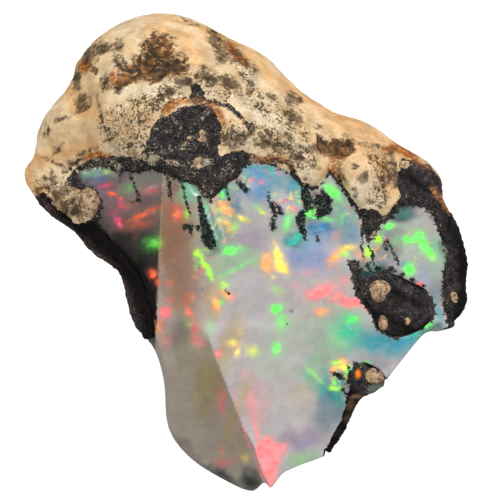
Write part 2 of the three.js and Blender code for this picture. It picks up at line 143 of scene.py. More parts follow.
def flank_w(u, v):
    run = np.maximum(0, crest_u(v) - u)
    shaded = np.maximum(0, ridge_u(v) - u)
    shade_fall = 0.42 + 0.06 * np.maximum(0, 4 - v)
    cliff = 4.6 * smooth_step((-5 - v) / 14) * (1 - np.exp(-run / 0.55))
    return crest_w(v) - 0.33 * run - shade_fall * shaded - cliff


def face_w(u, v):
    return np.where(u > crest_u(v), broad_facet_w(u, v), flank_w(u, v))


print("height of the face at its middle:", round(float(face_w(0.0, 0.0)), 2), "mm")

# %% [markdown]
# ## A fine skin over each solid
# The frame's solids have a few thousand flat facets. A stone needs far more, and evenly spread, so
# that relief can be carved anywhere. A voxel remesh wraps a solid in a regular net of small
# squares. Moving every point towards the average of its neighbours, some dozens of times, then
# rounds the old facets off. Subdividing instead would keep the old long thin triangles.

# %% Fine skin


def drop_crumbs(mesh):
    """Leaves only the largest connected shell; a remesh can leave a few tiny cubes beside it."""
    net = bmesh.new()
    net.from_mesh(mesh)
    waiting = set(net.verts)
    shells = []
    while waiting:
        shell = set()
        edge = {next(iter(waiting))}
        while edge:
            waiting -= edge
            shell |= edge
            edge = {side.other_vert(point) for point in edge for side in point.link_edges} & waiting
        shells.append(shell)
    shells.sort(key=len)
    for crumb in shells[:-1]:
        bmesh.ops.delete(net, geom=list(crumb), context="VERTS")
    net.to_mesh(mesh)
    net.free()


def fine_copy(node, name, voxel, prepare=None):
    """A new object with the node's shape in a regular net, in millimetres."""
    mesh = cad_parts[node].data.copy()
    mesh.transform(Matrix.Scale(1 / MM, 4))
    if prepare:
        prepare(mesh)
    rough = bpy.data.objects.new(name + "_rough", mesh)
    bpy.context.scene.collection.objects.link(rough)
    remesh = rough.modifiers.new("Net", "REMESH")
    remesh.mode = "VOXEL"
    remesh.voxel_size = voxel
    evaluated = rough.evaluated_get(bpy.context.evaluated_depsgraph_get())
    net = bpy.data.meshes.new_from_object(evaluated)
    bpy.data.objects.remove(rough)
    drop_crumbs(net)
    net.name = name
    fine = bpy.data.objects.new(name, net)
    bpy.context.scene.collection.objects.link(fine)
    return fine


def places_of(mesh):
    flat = np.zeros(len(mesh.vertices) * 3)
    mesh.vertices.foreach_get("co", flat)
    return flat.reshape(-1, 3)


def set_places(mesh, places):
    mesh.vertices.foreach_set("co", places.ravel())
    mesh.update()


def normals_of(mesh):
    flat = np.zeros(len(mesh.vertices) * 3)
    mesh.vertex_normals.foreach_get("vector", flat)
    return flat.reshape(-1, 3)


def edges_of(mesh):
    flat = np.zeros(len(mesh.edges) * 2, np.int64)
    mesh.edges.foreach_get("vertices", flat)
    return flat.reshape(-1, 2)


def rounded(places, edges, rounds, share=0.5):
    """Moves each point part of the way to the average of its neighbours, many times over."""
    first, second = edges.T
    size = len(places)
    neighbours = np.bincount(edges.ravel(), minlength=size)[:, None]
    for _ in range(rounds):
        total = np.zeros_like(places)
        for axis in range(places.shape[1]):
            total[:, axis] += np.bincount(first, places[second, axis], size)
            total[:, axis] += np.bincount(second, places[first, axis], size)
        places = places + share * (total / neighbours - places)
    return places


# %% [markdown]
# The solids keep a small gap between them, and a solid of few facets can only follow the line
# where they meet roughly. Before its net is made, the opal is given a narrow ledge along that
# line, just below its face, so that the net reaches under the crust everywhere. The same line
# later tells the rock where to stop.

# %% Line of contact
# Where the opal shows, as map squares across and down. The first part is the line of contact.
CONTACT_LINE = [
    (104, 234), (98, 224), (99, 212), (101, 202), (98, 193), (92, 188), (83, 186), (78, 181),
    (76, 175), (80, 170), (90, 167), (100, 165), (110, 168), (120, 171), (130, 172), (140, 173),
    (150, 170), (160, 171), (165, 175), (175, 178), (185, 181), (197, 184), (203, 192),
    (208, 198), (215, 192), (222, 189), (228, 182), (237, 178), (243, 168), (250, 163),
    (262, 162), (275, 166), (285, 170), (292, 176), (300, 183), (307, 187), (315, 186),
    (322, 181), (327, 173), (330, 170), (335, 177), (342, 188), (348, 198), (355, 207),
    (361, 218), (364, 232), (370, 240), (376, 232), (381, 224), (390, 216), (400, 208),
    (412, 205), (424, 208), (433, 215), (438, 228), (442, 241), (448, 252), (446, 263),
    (443, 275), (443, 290), (443, 305), (447, 319), (449, 327),
]
OPAL_WINDOW = CONTACT_LINE + [
    (446, 345), (420, 400), (360, 470), (270, 510), (200, 500), (140, 420), (150, 338),
    (157, 322), (155, 300), (148, 280), (138, 266), (124, 250),
]


def ledge(mesh, line, inside, outside, deep):
    """Adds a closed ledge along a line of the face to a mesh, reaching to both sides of it."""
    way = np.gradient(line, axis=0)
    way /= np.linalg.norm(way, axis=1)[:, None]
    across = np.stack([way[:, 1], -way[:, 0]], axis=1)
    rings = []
    for shift, drop in ((inside, 0), (-outside, 0), (-outside, deep), (inside, deep)):
        uv = line + across * shift
        rings.append(np.column_stack([uv, face_w(uv[:, 0], uv[:, 1]) - drop]))
    corners = from_face(np.stack(rings, axis=1).reshape(-1, 3))
    faces = [(0, 1, 2, 3)]
    for start in range(0, len(corners) - 4, 4):
        for side in range(4):
            after = (side + 1) % 4
            faces.append((start + side, start + 4 + side, start + 4 + after, start + after))
    faces.append(tuple(len(corners) - 4 + side for side in (3, 2, 1, 0)))
    maker = bmesh.new()
    maker.from_mesh(mesh)
    added = [maker.verts.new(corner) for corner in corners]
    for face in faces:
        maker.faces.new([added[i] for i in face])
    maker.to_mesh(mesh)
    maker.free()


def closer(line, spacing):
    """The same line with points put in, so that none are further apart than the spacing."""
    points = [line[0]]
    for start, end in zip(line, line[1:]):
        steps = max(1, math.ceil(np.linalg.norm(end - start) / spacing))
        points += [start + (end - start) * step / steps for step in range(1, steps + 1)]
    return np.array(points)


LEDGE_INSIDE = 1.2
LEDGE_OUTSIDE = 0.4
LEDGE_DEEP = 1.3


# Below the top of the seam the opal is whole again, so the slot in its solid is closed.
SEAM_LINE = [(372, 228), (370, 240), (368, 254), (367, 270), (368, 284)]
SEAM_HALF = 1.15
SEAM_DEEP = 2.0
SPUR_LINE = [(350, 376), (348, 392), (344, 406), (338, 420), (330, 434), (325, 447)]
SPUR_HALF = 0.5
SPUR_HEAD = [(348, 360), (346, 376), (345, 394)]
SPUR_HEAD_HALF = 0.9


def widen_opal(mesh):
    line = closer(on_map(CONTACT_LINE), 0.5)
    ledge(mesh, line, LEDGE_INSIDE, LEDGE_OUTSIDE, LEDGE_DEEP)
    ledge(mesh, closer(on_map(SEAM_LINE), 0.5), SEAM_HALF, SEAM_HALF, SEAM_DEEP)
    ledge(mesh, closer(on_map(SPUR_LINE), 0.5), SPUR_HALF, SPUR_HALF, SEAM_DEEP)
    ledge(mesh, closer(on_map(SPUR_HEAD), 0.5), SPUR_HEAD_HALF, SPUR_HEAD_HALF, SEAM_DEEP)


ROCK_VOXEL = 0.208
OPAL_VOXEL = 0.153
rock = fine_copy("host_rock", "host_rock_surface", ROCK_VOXEL)
opal = fine_copy("opal", "opal_surface", OPAL_VOXEL, widen_opal)
for piece in (rock, opal):
    print(piece.name, "has", len(piece.data.polygons), "small faces")

# %% [markdown]
# ## How far apart the two pieces are
# Much of what follows depends on the line where rock and opal meet. A tree of triangles (a BVH)
# finds the nearest point of the other solid quickly for every point of a net.

# %% Nearness


def solid_tree(node):
    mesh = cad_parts[node].data
    corners = (places_of(mesh) / MM).tolist()
    faces = [tuple(face.vertices) for face in mesh.polygons]
    return BVHTree.FromPolygons(corners, faces)


def away_from(tree, places):
    return np.array([tree.find_nearest(place)[3] for place in places.tolist()])


rock_tree = solid_tree("host_rock")
opal_tree = solid_tree("opal")
print("trees are ready")

# %% [markdown]
# ## Noise with a size
# Natural surfaces are uneven at every scale. Each call below gives every point a number that rises
# and falls over a stated distance in millimetres. The seed only moves the pattern along.

# %% Noise


def unevenness(places, size, seed, octaves=3):
    """About -1 to 1, with bumps of roughly the given size."""
    moved = (places / size + 17.3 * seed).tolist()
    return np.array([noise.fractal(place, 1.0, 2.1, octaves) for place in moved])


def grains(places, size, seed):
    """1 in the middle of a grain and 0 between grains."""
    moved = (places / size + 11.7 * seed).tolist()
    found = np.array([noise.voronoi(place)[0][:2] for place in moved])
    return np.clip((found[:, 1] - found[:, 0]) * 1.6, 0, 1)


# %% [markdown]
# ## Drawing on the map
# Every marking starts as a distance: how deep inside the marking a point lies, in millimetres, with
# less than nothing outside. Distances are easy to combine (the larger one wins), and the material can
# roughen their edges later, more finely than the net of faces could hold. Three kinds are enough: a
# closed outline, a stroke whose width changes along the way, and an oval patch.

# %% Map drawing tools


def outline_depth(uv, outline):
    ring = on_map(outline)
    nearest = np.full(len(uv), 1e9)
    inside = np.zeros(len(uv), bool)
    for start, end in zip(ring, np.roll(ring, -1, axis=0)):
        side = end - start
        along = np.clip((uv - start) @ side / (side @ side), 0, 1)
        nearest = np.minimum(nearest, np.linalg.norm(uv - start - along[:, None] * side, axis=1))
        if side[1] != 0:
            crossing = start[0] + (uv[:, 1] - start[1]) * side[0] / side[1]
            inside ^= ((start[1] > uv[:, 1]) != (end[1] > uv[:, 1])) & (uv[:, 0] < crossing)
    return np.where(inside, nearest, -nearest)


def stroke_depth(uv, stroke):
    """A stroke's points are across, down and half its width there, in map squares."""
    points = on_map(stroke)
    widths = np.asarray(stroke, float)[:, 2] * MAP_SQUARE
    depth = np.full(len(uv), -1e9)
    for i in range(len(points) - 1):
        side = points[i + 1] - points[i]
        along = np.clip((uv - points[i]) @ side / (side @ side), 0, 1)
        away = np.linalg.norm(uv - points[i] - along[:, None] * side, axis=1)
        depth = np.maximum(depth, widths[i] + along * (widths[i + 1] - widths[i]) - away)
    return depth


def patch_depth(uv, patch):
    """A patch is across, down, half its length, half its breadth, and its turn in degrees."""
    across, down, long, broad, turn = patch
    turned = math.radians(turn)
    way = np.array([[math.cos(turned), math.sin(turned)], [-math.sin(turned), math.cos(turned)]])
    halves = np.array([long, broad]) * MAP_SQUARE
    local = (uv - on_map([(across, down)])) @ way.T / halves
    return (1 - np.linalg.norm(local, axis=1)) * min(halves)


def deepest(uv, outlines=(), strokes=(), patches=()):
    depth = np.full(len(uv), -9.0)
    for outline in outlines:
        depth = np.maximum(depth, outline_depth(uv, outline))
    for stroke in strokes:
        depth = np.maximum(depth, stroke_depth(uv, stroke))
    for patch in patches:
        depth = np.maximum(depth, patch_depth(uv, patch))
    return depth


def store(mesh, name, values):
    mesh.attributes.new(name, "FLOAT", "POINT").data.foreach_set("value", values.astype(np.float32))


def store_tint(mesh, name, tints):
    rgba = np.concatenate([tints, np.ones((len(tints), 1))], axis=1).astype(np.float32)
    mesh.attributes.new(name, "FLOAT_COLOR", "POINT").data.foreach_set("color", rgba.ravel())


# %% [markdown]
# ## The dark granular crust
# Between rock and opal runs a crust of black sandy grains. It climbs into the rock as an arch, crosses
# the opal as a seam, an island and a spur, and wraps the right and lower edges of the stone. It
# lies on both pieces, so its shapes are drawn once and used for both.

# %% Crust shapes
CRUST_OUTLINES = {
    "arch": [
        (120, 176), (120, 158), (134, 157), (141, 158), (144, 152), (147, 143), (150, 133),
        (154, 125), (160, 121), (166, 118), (171, 114), (177, 110), (184, 107), (192, 106),
        (200, 106), (207, 106), (213, 110), (217, 116), (220, 122), (222, 128), (222, 136),
        (222, 144), (219, 150), (220, 157), (228, 155), (236, 153), (244, 152), (252, 154),
        (262, 159), (252, 163), (245, 164), (241, 171), (235, 179), (225, 184), (221, 190),
        (214, 193), (208, 199), (203, 193), (197, 185), (185, 181), (175, 178), (165, 174),
        (158, 170), (150, 170), (140, 173), (130, 173),
    ],
    "band to the left": [
        (125, 157), (110, 156), (100, 156), (91, 159), (82, 163), (76, 167), (80, 170),
        (90, 168), (100, 166), (110, 169), (120, 173), (130, 174),
    ],
    "tongue above the arch": [
        (190, 88), (196, 86), (201, 88), (203, 93), (206, 99), (203, 105), (196, 105),
        (191, 100), (192, 94),
    ],
    "notch at the left": [
        (66, 176), (70, 171), (76, 168), (79, 173), (78, 180), (82, 185), (96, 187),
        (100, 194), (97, 194), (90, 190), (76, 189), (69, 185), (65, 181),
    ],
    "dark end at the right": [
        (386, 213), (393, 205), (399, 196), (397, 186), (399, 173), (398, 164), (404, 159),
        (413, 161), (421, 164), (429, 168), (437, 177), (446, 190), (453, 206), (463, 225),
        (474, 250), (474, 275), (474, 300), (464, 322), (452, 336), (420, 336), (420, 290),
        (420, 230), (400, 225), (380, 230), (376, 214),
    ],
    "top of the seam": [
        (358, 207), (366, 207), (374, 210), (382, 214), (390, 213), (394, 216), (384, 221),
        (378, 226), (377, 235), (373, 232), (369, 236), (366, 240), (363, 230), (360, 218),
    ],
    "island": [
        (348, 261), (357, 262), (359, 268), (366, 273), (378, 274), (386, 272), (397, 277),
        (405, 284), (415, 289), (425, 292), (431, 299), (434, 308), (431, 319), (421, 328),
        (408, 331), (395, 338), (386, 334), (378, 329), (374, 318), (370, 310), (362, 302),
        (357, 295), (354, 284), (352, 272),
    ],
    "spur": [
        (352, 362), (357, 361), (361, 365), (366, 369), (372, 368), (379, 370), (385, 377), (385, 385),
        (379, 392), (364, 394), (358, 400), (354, 408), (353, 418), (346, 425), (345, 434), (338, 445),
        (331, 454), (325, 453), (329, 439), (336, 428), (342, 421), (342, 414), (346, 402), (349, 393),
        (351, 384), (349, 377), (352, 370),
    ],
    "lower left rim": [
        (36, 196), (44, 192), (52, 198), (57, 207), (66, 214), (80, 222), (92, 222),
        (104, 214), (130, 230), (160, 262), (176, 300), (176, 350), (150, 346), (120, 330),
        (90, 280), (60, 240), (30, 215),
    ],
}
CRUST_STROKES = {
    "line over the arch": [
        (206, 103, 1.2), (216, 104, 2.0), (226, 107, 2.2), (234, 111, 2.4), (241, 118, 2.0),
        (247, 127, 1.2), (253, 133, 0.7),
    ],
    "line beside the right lobe": [(250, 162, 3.2), (262, 160, 2.8), (275, 160, 2.2), (288, 163, 2.4),
                                   (294, 173, 2.6), (302, 183, 2.6), (311, 188, 2.4), (318, 186, 1.2)],
    "crack under the right lobe": [
        (326, 178, 0.8), (330, 171, 1.6), (336, 174, 1.6), (342, 185, 2.0), (349, 198, 2.4),
        (357, 206, 3.2), (362, 213, 3.0),
    ],
    "line over the gold": [(161, 121, 0.9), (163, 112, 1.0), (169, 103, 1.1), (179, 99, 0.9), (192, 98, 1.2)],
    "upper edge of the band": [(62, 176, 0.9), (66, 170, 1.0), (73, 164, 1.2), (83, 159, 1.4)],
    "thin seam on the left": [(361, 225, 1.2), (362, 238, 1.4), (361, 248, 1.2), (363, 258, 1.0)],
    "thin seam on the right": [(366, 238, 1.6), (369, 247, 1.0), (373, 256, 1.6), (374, 263, 1.0)],
    "foot of the strip": [(331, 444, 2.6), (327, 450, 2.2)],
    "crevice beside the knob": [(98, 194, 1.6), (100, 204, 2.2), (97, 214, 1.8), (93, 222, 2.4)],
}

# %% [markdown]
# ## Carving the rock
# The rind is softly weathered: broad swellings, fist-like lobes, small pits where grains fell out, and
# a sandy crust. Each is a height added along the surface. The wall behind the opal is pushed out a
# little as well, so that the crust closes over the opal's edge as it does in nature.

# %% Where the opal shows
CRUST_ON_OPAL = [CRUST_OUTLINES[name] for name in ("top of the seam", "island", "spur")]


def window_depth(uv):
    """How deep inside the opal's window a point lies; the island and the spur are outside it."""
    crossing = deepest(uv, [CRUST_OUTLINES["island"], CRUST_OUTLINES["spur"]])
    return np.minimum(outline_depth(uv, OPAL_WINDOW), -crossing)


# %% Rock skin
ROCK_ROUNDING = 26
rock_net = rock.data
rock_places = rounded(places_of(rock_net), edges_of(rock_net), ROCK_ROUNDING)
set_places(rock_net, rock_places)
rock_normals = normals_of(rock_net)
rock_uvw = to_face(rock_places)
rock_uv = rock_uvw[:, :2]
to_opal = away_from(opal_tree, rock_places)
ragged = np.stack([
    unevenness(rock_places, 1.1, 1),
    unevenness(rock_places, 1.1, 2),
], axis=1)
drawn_uv = rock_uv + 0.16 * ragged
facing = rock_normals @ FACE_WAYS[2]
RIND_FLOOR = -5.0
on_front = smooth_step((rock_uvw[:, 2] - RIND_FLOOR) / 3) * smooth_step((facing + 0.45) / 0.4)
print("rock skin:", len(rock_places), "points")

# %% Rock markings: where each lies
BROWN_PATCHES = [
    (143, 62, 9, 7, 0), (171, 45, 4, 7, 0), (119, 84, 6, 8, 0), (124, 68, 6, 6, 0),
]
BROWN_OUTLINES = {
    "stain on the crown": [
        (146, 38), (152, 34), (160, 35), (168, 37), (174, 43), (175, 50), (172, 55), (178, 58),
        (186, 58), (189, 64), (187, 72), (181, 80), (170, 79), (160, 81), (150, 84), (141, 82),
        (131, 84), (122, 86), (116, 80), (118, 72), (124, 70), (132, 66), (139, 60), (143, 54),
        (140, 48), (142, 42),
    ],
    "hollow in the right shoulder": [
        (315, 137), (322, 135), (330, 141), (340, 141), (351, 142), (353, 148), (348, 153),
        (346, 160), (337, 161), (326, 159), (319, 155), (313, 148),
    ],
}
RUST_PATCHES = [
    (126, 78, 6, 5, 0), (150, 81, 8, 2.4, 0), (184, 76, 3, 3, 0),
    (322, 152, 7, 4, -20), (334, 154, 12, 4, -10),
    (342, 157, 4, 8, 0), (338, 166, 5, 8, -20), (425, 168, 7, 5, -45), (408, 155, 9, 3, -35),
    (440, 200, 14, 3.5, -60), (398, 147, 8, 4, -20), (88, 157, 7, 3, 20), (97, 155, 7, 3, -10),
    (72, 165, 5, 2, 40), (50, 192, 10, 4, -40),
]
RUST_STROKES = [
    [(23, 160, 3), (30, 167, 5), (34, 176, 4)],
    [(40, 202, 2.5), (58, 220, 3), (82, 236, 3.4), (98, 252, 4), (116, 268, 4), (126, 290, 4.4), (132, 320, 4)],
]
GOLD_PATCHES = [
    (114, 77, 4, 6, 0),
    (232, 50, 5, 7, 20), (84, 66, 6, 8, 0), (105, 155, 7, 2.5, 0),
    (237, 57, 8, 3, -30), (332, 168, 5, 6, 0), (199, 104, 6, 2, -15), (262, 158, 8, 1.5, -10),
]
GOLD_STROKES = [
    [(165, 116, 1.6), (168, 110, 4.4), (173, 105, 4.2), (181, 102, 3.2), (190, 101, 2.2), (198, 102, 1.8)],
    [(205, 103, 1.6), (213, 107, 2.8), (219, 113, 3.0), (223, 120, 2.4), (225, 127, 1.2)],
    [(430, 188, 1.2), (435, 196, 2.4), (442, 205, 2.8), (448, 213, 1.6)],
    [(384, 150, 3.0), (396, 150, 4.0), (410, 156, 3.6), (418, 164, 2.4)],
    [(84, 160, 1.8), (92, 156, 2.6), (103, 154, 2.2), (112, 155, 1.4)],
    [(236, 55, 2.0), (243, 62, 3.0), (249, 68, 2.0)],
    [(252, 158, 1.2), (270, 157, 1.4), (284, 160, 1.2), (292, 168, 1.0)],
    [(331, 160, 2.0), (333, 170, 3.0), (338, 176, 1.8)],
]
CRACKS = [
    [(352, 143, 0.7), (364, 146, 0.9), (378, 147, 0.8), (395, 150, 0.7)],
    [(58, 121, 0.8), (68, 118, 1.2), (79, 112, 0.9)],
    [(43, 158, 0.8), (56, 163, 1.1), (66, 166, 0.9)],
    [(62, 172, 1.0), (72, 160, 1.2), (84, 153, 1.1), (98, 149, 0.8)],
    [(104, 143, 0.8), (112, 139, 1.1), (118, 134, 0.7)],
    [(296, 158, 0.9), (306, 163, 1.2), (318, 170, 0.8)],
    [(262, 140, 0.9), (270, 145, 1.3), (282, 152, 0.9)],
    [(336, 166, 0.9), (340, 174, 1.1), (347, 184, 0.8)],
    [(96, 96, 0.8), (101, 112, 1.1), (104, 130, 0.9)],
    [(84, 192, 1.0), (82, 202, 1.3), (83, 213, 0.9)],
]
# Grey smudges on the rind; the ones at the lower left, along the lobe's under edge and below the knob, are painted
# shade.
SMUDGES_AND_SHADE = [
    (104, 50, 16, 8, 10), (90, 60, 8, 12, 20), (76, 80, 5, 16, 15), (118, 60, 8, 8, 0),
    (106, 84, 7, 12, 0), (224, 52, 16, 8, 45), (236, 60, 10, 6, 45), (214, 40, 8, 6, 30),
    (228, 84, 14, 7, -20), (208, 80, 10, 9, 0), (388, 178, 12, 16, 0), 
    (50, 204, 12, 6, -40), (82, 204, 4, 14, 0), (64, 190, 10, 8, 0), (270, 98, 8, 4, -30), (290, 102, 10, 8, -30),
    (296, 120, 9, 8, -30), (262, 140, 22, 8, -30), (232, 142, 12, 12, 0), (290, 150, 20, 6, -40),
    (60, 196, 12, 8, -40), (76, 210, 9, 8, 0), (52, 178, 6, 8, 0), (310, 150, 8, 6, 0),
    (362, 178, 9, 6, 20), (392, 170, 7, 14, 10), (250, 128, 12, 5, -30), (186, 84, 14, 6, -10),
]
# Dark spots and pits; the cluster at the lower left, below the lobe and the knob, is painted shade.
DARK_SPOTS = [
    (83, 104, 9, 9.5, 0), (79, 97, 5, 4, 0), (57, 150, 9, 3, 38), (58, 121, 3.5, 3, 0),
    (322, 141, 7, 4, 15), (338, 145, 10, 4, 5), (348, 150, 5, 5, 0), (333, 153, 5, 3, 0),
    (150, 70, 6, 5, 0), (167, 66, 8, 5, 10), (180, 68, 5, 5, 0), (161, 76, 6, 3, 0),
    (47, 131, 3, 6, 0), (46, 177, 2.6, 2, 0), (53, 172, 2, 2, 0), (51, 184, 2.4, 2, 0),
    (110, 145, 5, 2, 32), (78, 88, 4, 2.4, 0), (94, 71, 4, 4, 0), (118, 88, 3, 5, 0),
    (75, 74, 4, 8, 15), (92, 47, 6, 4, 25), (118, 46, 5, 6, 0), (105, 82, 4, 8, 0),
    (104, 51, 7, 4, 20), (84, 57, 4, 6, 30), (255, 72, 4, 5, 0), (250, 90, 4, 7, -20),
    (291, 95, 6, 4, -35), (299, 101, 4, 5, 0), (290, 105, 3, 2.5, 0), (290, 116, 7, 5, -30),
    (318, 127, 4, 3, 0), (354, 168, 4.5, 2.6, 15), (365, 177, 2.6, 2.6, 0),
    (353, 189, 2.6, 3, 0), (355, 195, 2.2, 2.4, 0), (373, 186, 2, 2.6, 0), (222, 60, 7, 5, 0),
    (215, 48, 5, 6, 0), (243, 62, 7, 3, -35), (235, 52, 6, 5, -20), (196, 24, 6, 2.6, -20),
    (186, 18, 6, 2, -15), (213, 32, 6, 3, -30), (231, 86, 8, 5, -20), (211, 83, 5, 6, 0),
    (204, 71, 5, 4, 0), (196, 79, 4, 3, 0), (240, 94, 6, 4, -30), (272, 98, 4, 2, -30),
    (268, 136, 8, 4, -35), (278, 150, 9, 4, -40), (262, 146, 10, 3, -10), (290, 140, 6, 3, -40),
    (300, 148, 5, 2, -40), (318, 150, 3, 4, 0), (345, 137, 3, 2, 0), (120, 62, 5, 3, 0),
    (182, 92, 3, 5, 20), (170, 92, 5, 4, 0), (160, 95, 4, 3, 0), (152, 103, 6, 2, 20),
    (178, 82, 6, 3, -20), (188, 84, 7, 3, -20), (62, 205, 9, 4, -40), (72, 200, 5, 5, 0),
    (76, 212, 6, 4, 0), (56, 196, 6, 3, -45), (393, 176, 7, 3, 30), (389, 154, 4, 3, 0),
    (400, 174, 5, 5, 0), (392, 163, 3, 4, 0), (370, 160, 2, 2, 0), (243, 139, 6, 6, 0),
    (236, 133, 3, 3, 0), (252, 131, 4, 2, -30), (100, 128, 2, 6, 0), (107, 135, 2, 4, 0), (82, 200, 2.4, 12, 0),
    (50, 204, 8, 4, -45), (66, 214, 8, 4, -40), (40, 190, 5, 3, -50), (398, 184, 4, 8, 0),
    (385, 166, 3, 3, 0), (378, 174, 2, 2, 0), (368, 200, 3, 2.4, 0), (384, 196, 2.4, 3, 0),
    (300, 166, 5, 1.6, -40), (308, 178, 5, 1.4, -30), (97, 214, 3, 6, -10),
]
ORANGE_STROKES = [
    [(205, 30, 6), (240, 50, 9), (272, 78, 6), (300, 96, 8), (335, 116, 11), (365, 134, 8),
     (400, 153, 7)],
    [(66, 85, 8), (78, 108, 7), (96, 118, 7), (112, 118, 6)],
    [(34, 160, 6), (52, 158, 7), (75, 150, 5), (100, 146, 4)],
    [(350, 150, 6), (380, 160, 9), (388, 190, 8)],
    [(150, 30, 5), (185, 40, 9), (198, 60, 7)],
    [(152, 15, 3), (180, 19, 6), (205, 29, 6)],
    [(23, 166, 5), (29, 180, 6), (40, 194, 6)],
]
SPECKLE_STROKES = [
    [(112, 125, 14), (135, 118, 20), (150, 105, 12), (172, 90, 10)],
    [(122, 150, 10), (140, 138, 12)],
    [(250, 128, 8), (275, 145, 14), (305, 162, 12)],
    [(245, 95, 9), (285, 118, 12), (300, 135, 10)],
    [(230, 135, 13), (246, 140, 9)],
    [(70, 195, 10), (80, 212, 9)],
    [(195, 78, 10), (225, 92, 12)],
    [(170, 165, 5), (120, 160, 4)],
    [(372, 156, 10), (386, 176, 12), (376, 198, 10)],
    [(297, 160, 6), (304, 171, 3.5)],
    [(40, 184, 8), (62, 190, 10), (88, 204, 10)],
    [(100, 45, 10), (84, 60, 10)],
    [(212, 34, 5), (236, 58, 8), (250, 80, 8)],
]
PALE_CRUST = [
    (150, 159, 17, 8, -10, 1.0), (172, 164, 12, 5, 0, 0.9), (115, 165, 14, 4, 0, 0.6),
    (204, 122, 8, 14, 0, 0.35), (188, 140, 22, 16, 0, 0.45), (205, 162, 16, 9, 0, 0.6),
    (255, 160, 12, 5, 0, 0.7), (285, 164, 12, 4, 20, 0.6), (330, 174, 6, 5, 0, 0.6),
    (342, 188, 7, 7, 0, 0.6), (362, 214, 8, 8, 0, 0.5), (368, 386, 12, 8, 0, 0.25),
    (446, 322, 9, 8, 0, 0.3), (208, 188, 10, 10, 0, 0.4), (240, 160, 14, 6, 0, 0.4),
]
# Strokes of painted shade: along them the crust is darkened towards black, at the lower left rim, the right end, the
# spur and beside the island.
PAINTED_SHADE_STROKES = [
    [(44, 194, 3), (62, 212, 5), (88, 228, 8), (114, 244, 12), (138, 274, 14), (154, 305, 14), (160, 335, 12)],
    [(456, 232, 4), (463, 255, 8), (464, 285, 6), (458, 316, 7)],
    [(352, 392, 6), (346, 412, 8), (338, 435, 9), (328, 454, 8)],
    [(388, 290, 2), (396, 293, 4.0), (406, 300, 3.0), (420, 306, 3.0)],
    [(440, 206, 2), (449, 224, 4), (455, 240, 4)],
    [(402, 172, 2.5), (412, 180, 4.5), (426, 190, 3)],
    [(352, 300, 3), (420, 334, 4), (438, 322, 3)],
]
CREAM_PATCHES = [
    (137, 92, 24, 6, 8), (212, 100, 10, 8, 0), (262, 115, 30, 12, -35), (308, 174, 16, 9, -55),
    (368, 192, 16, 20, -20), (120, 150, 16, 5, 10), (135, 154, 8, 4, 0), (180, 88, 10, 6, 0),
    (238, 140, 12, 12, 0), (260, 152, 14, 3, -8), (88, 203, 7, 14, 0), (60, 185, 10, 6, -30),
    (300, 148, 20, 8, -30), (190, 98, 10, 3, 10), (250, 78, 12, 12, 0),
]

# %% [markdown]
# Pale knobs poke through the crust like raisins through dough. Each is a small dome raised from the
# skin, a little uneven, with a narrow gap round its foot.

# %% Knobs
KNOBS = [
    (378.5, 288, 9.4, 6.6, -8), (378, 293.5, 6.6, 7.2, 0), (384, 322, 3, 5.2, 10), (407, 321, 2.6, 3.6, 0),
    (370.5, 376, 5.6, 5.0, -10), (375.5, 377.5, 4.2, 3.8, 0), (454, 297, 3.6, 6, 20), (89, 204, 8, 15, 8),
 (203, 134, 3.6, 2.8, 0), (203, 141, 4.4, 3, 10),
    (199, 161, 4, 2.6, 0), (198, 167, 3.8, 3, 0), (181, 129, 2, 1.4, 0), (190, 139, 2, 2, 0),
    (134, 153, 6.5, 4.5, -10), (245, 188, 1, 1, 0), (172, 162, 5, 1.4, -5), (156, 149, 2, 1.4, 0),
    (404, 165, 5, 4, 20),
]


def dome(uv, patch):
    """1 at the middle of an oval patch, falling to 0 at its edge like a dome."""
    across, down, long, broad, turn = patch
    share = 1 - patch_depth(uv, patch) / (min(long, broad) * MAP_SQUARE)
    return np.sqrt(np.clip(1 - share ** 2, 0, 1))


knob_uv = rock_uv + 0.07 * ragged
knob_height = np.zeros(len(rock_uv))
knob_depth = deepest(knob_uv, patches=KNOBS)
for knob in KNOBS:
    tall = 0.3 * min(knob[2], knob[3]) * MAP_SQUARE
    knob_height = np.maximum(knob_height, tall * dome(knob_uv, knob))
moat = np.clip(1 - np.abs(knob_depth + 0.07) / 0.12, 0, 1)
print("highest knob:", round(float(knob_height.max()), 2), "mm")

# %% Rock relief
crust_depth = deepest(drawn_uv, CRUST_OUTLINES.values(), CRUST_STROKES.values())
CONTACT_BAND = 0.42
crust_depth = np.maximum(crust_depth, CONTACT_BAND - to_opal + 0.12 * ragged[:, 0])
crust_depth = np.where(on_front > 0.5, crust_depth, np.minimum(crust_depth, CONTACT_BAND - to_opal))
CROSSING_SKIRT = 0.45
for name in ("island", "spur"):
    crust_depth = np.maximum(crust_depth, outline_depth(rock_uv, CRUST_OUTLINES[name]) + CROSSING_SKIRT)
low_right = smooth_step((rock_uv[:, 0] - 4) / 1.5) * smooth_step((-8 - rock_uv[:, 1]) / 1.5)
crust_depth = np.maximum(crust_depth, 0.6 * low_right - 0.2)
finely = np.stack([
    unevenness(rock_places, 0.5, 21),
    unevenness(rock_places, 0.5, 22),
], axis=1)
spot_uv = rock_uv + 0.26 * ragged + 0.14 * finely
spot_depth = deepest(spot_uv, patches=DARK_SPOTS)
spot_depth = np.maximum(spot_depth, deepest(rock_uv + 0.08 * ragged, strokes=CRACKS) + 0.05)
brown_depth = deepest(spot_uv, BROWN_OUTLINES.values(), patches=BROWN_PATCHES)

broad_waves = unevenness(rock_places, 4.5, 3)
small_waves = unevenness(rock_places, 1.3, 4)
sandy = unevenness(rock_places, 0.42, 5, 2)
crust_grains = grains(rock_places, 0.5, 6)
in_crust = smooth_step(crust_depth / 0.25 + 0.5)
in_spot = smooth_step(spot_depth / 0.3 + 0.5)
in_brown = smooth_step(brown_depth / 0.5 + 0.3)
pitted = np.clip(unevenness(rock_places, 0.9, 7, 2) - 0.45, 0, 1)

def softly(depth, edge):
    return smooth_step(depth / edge + 0.5)


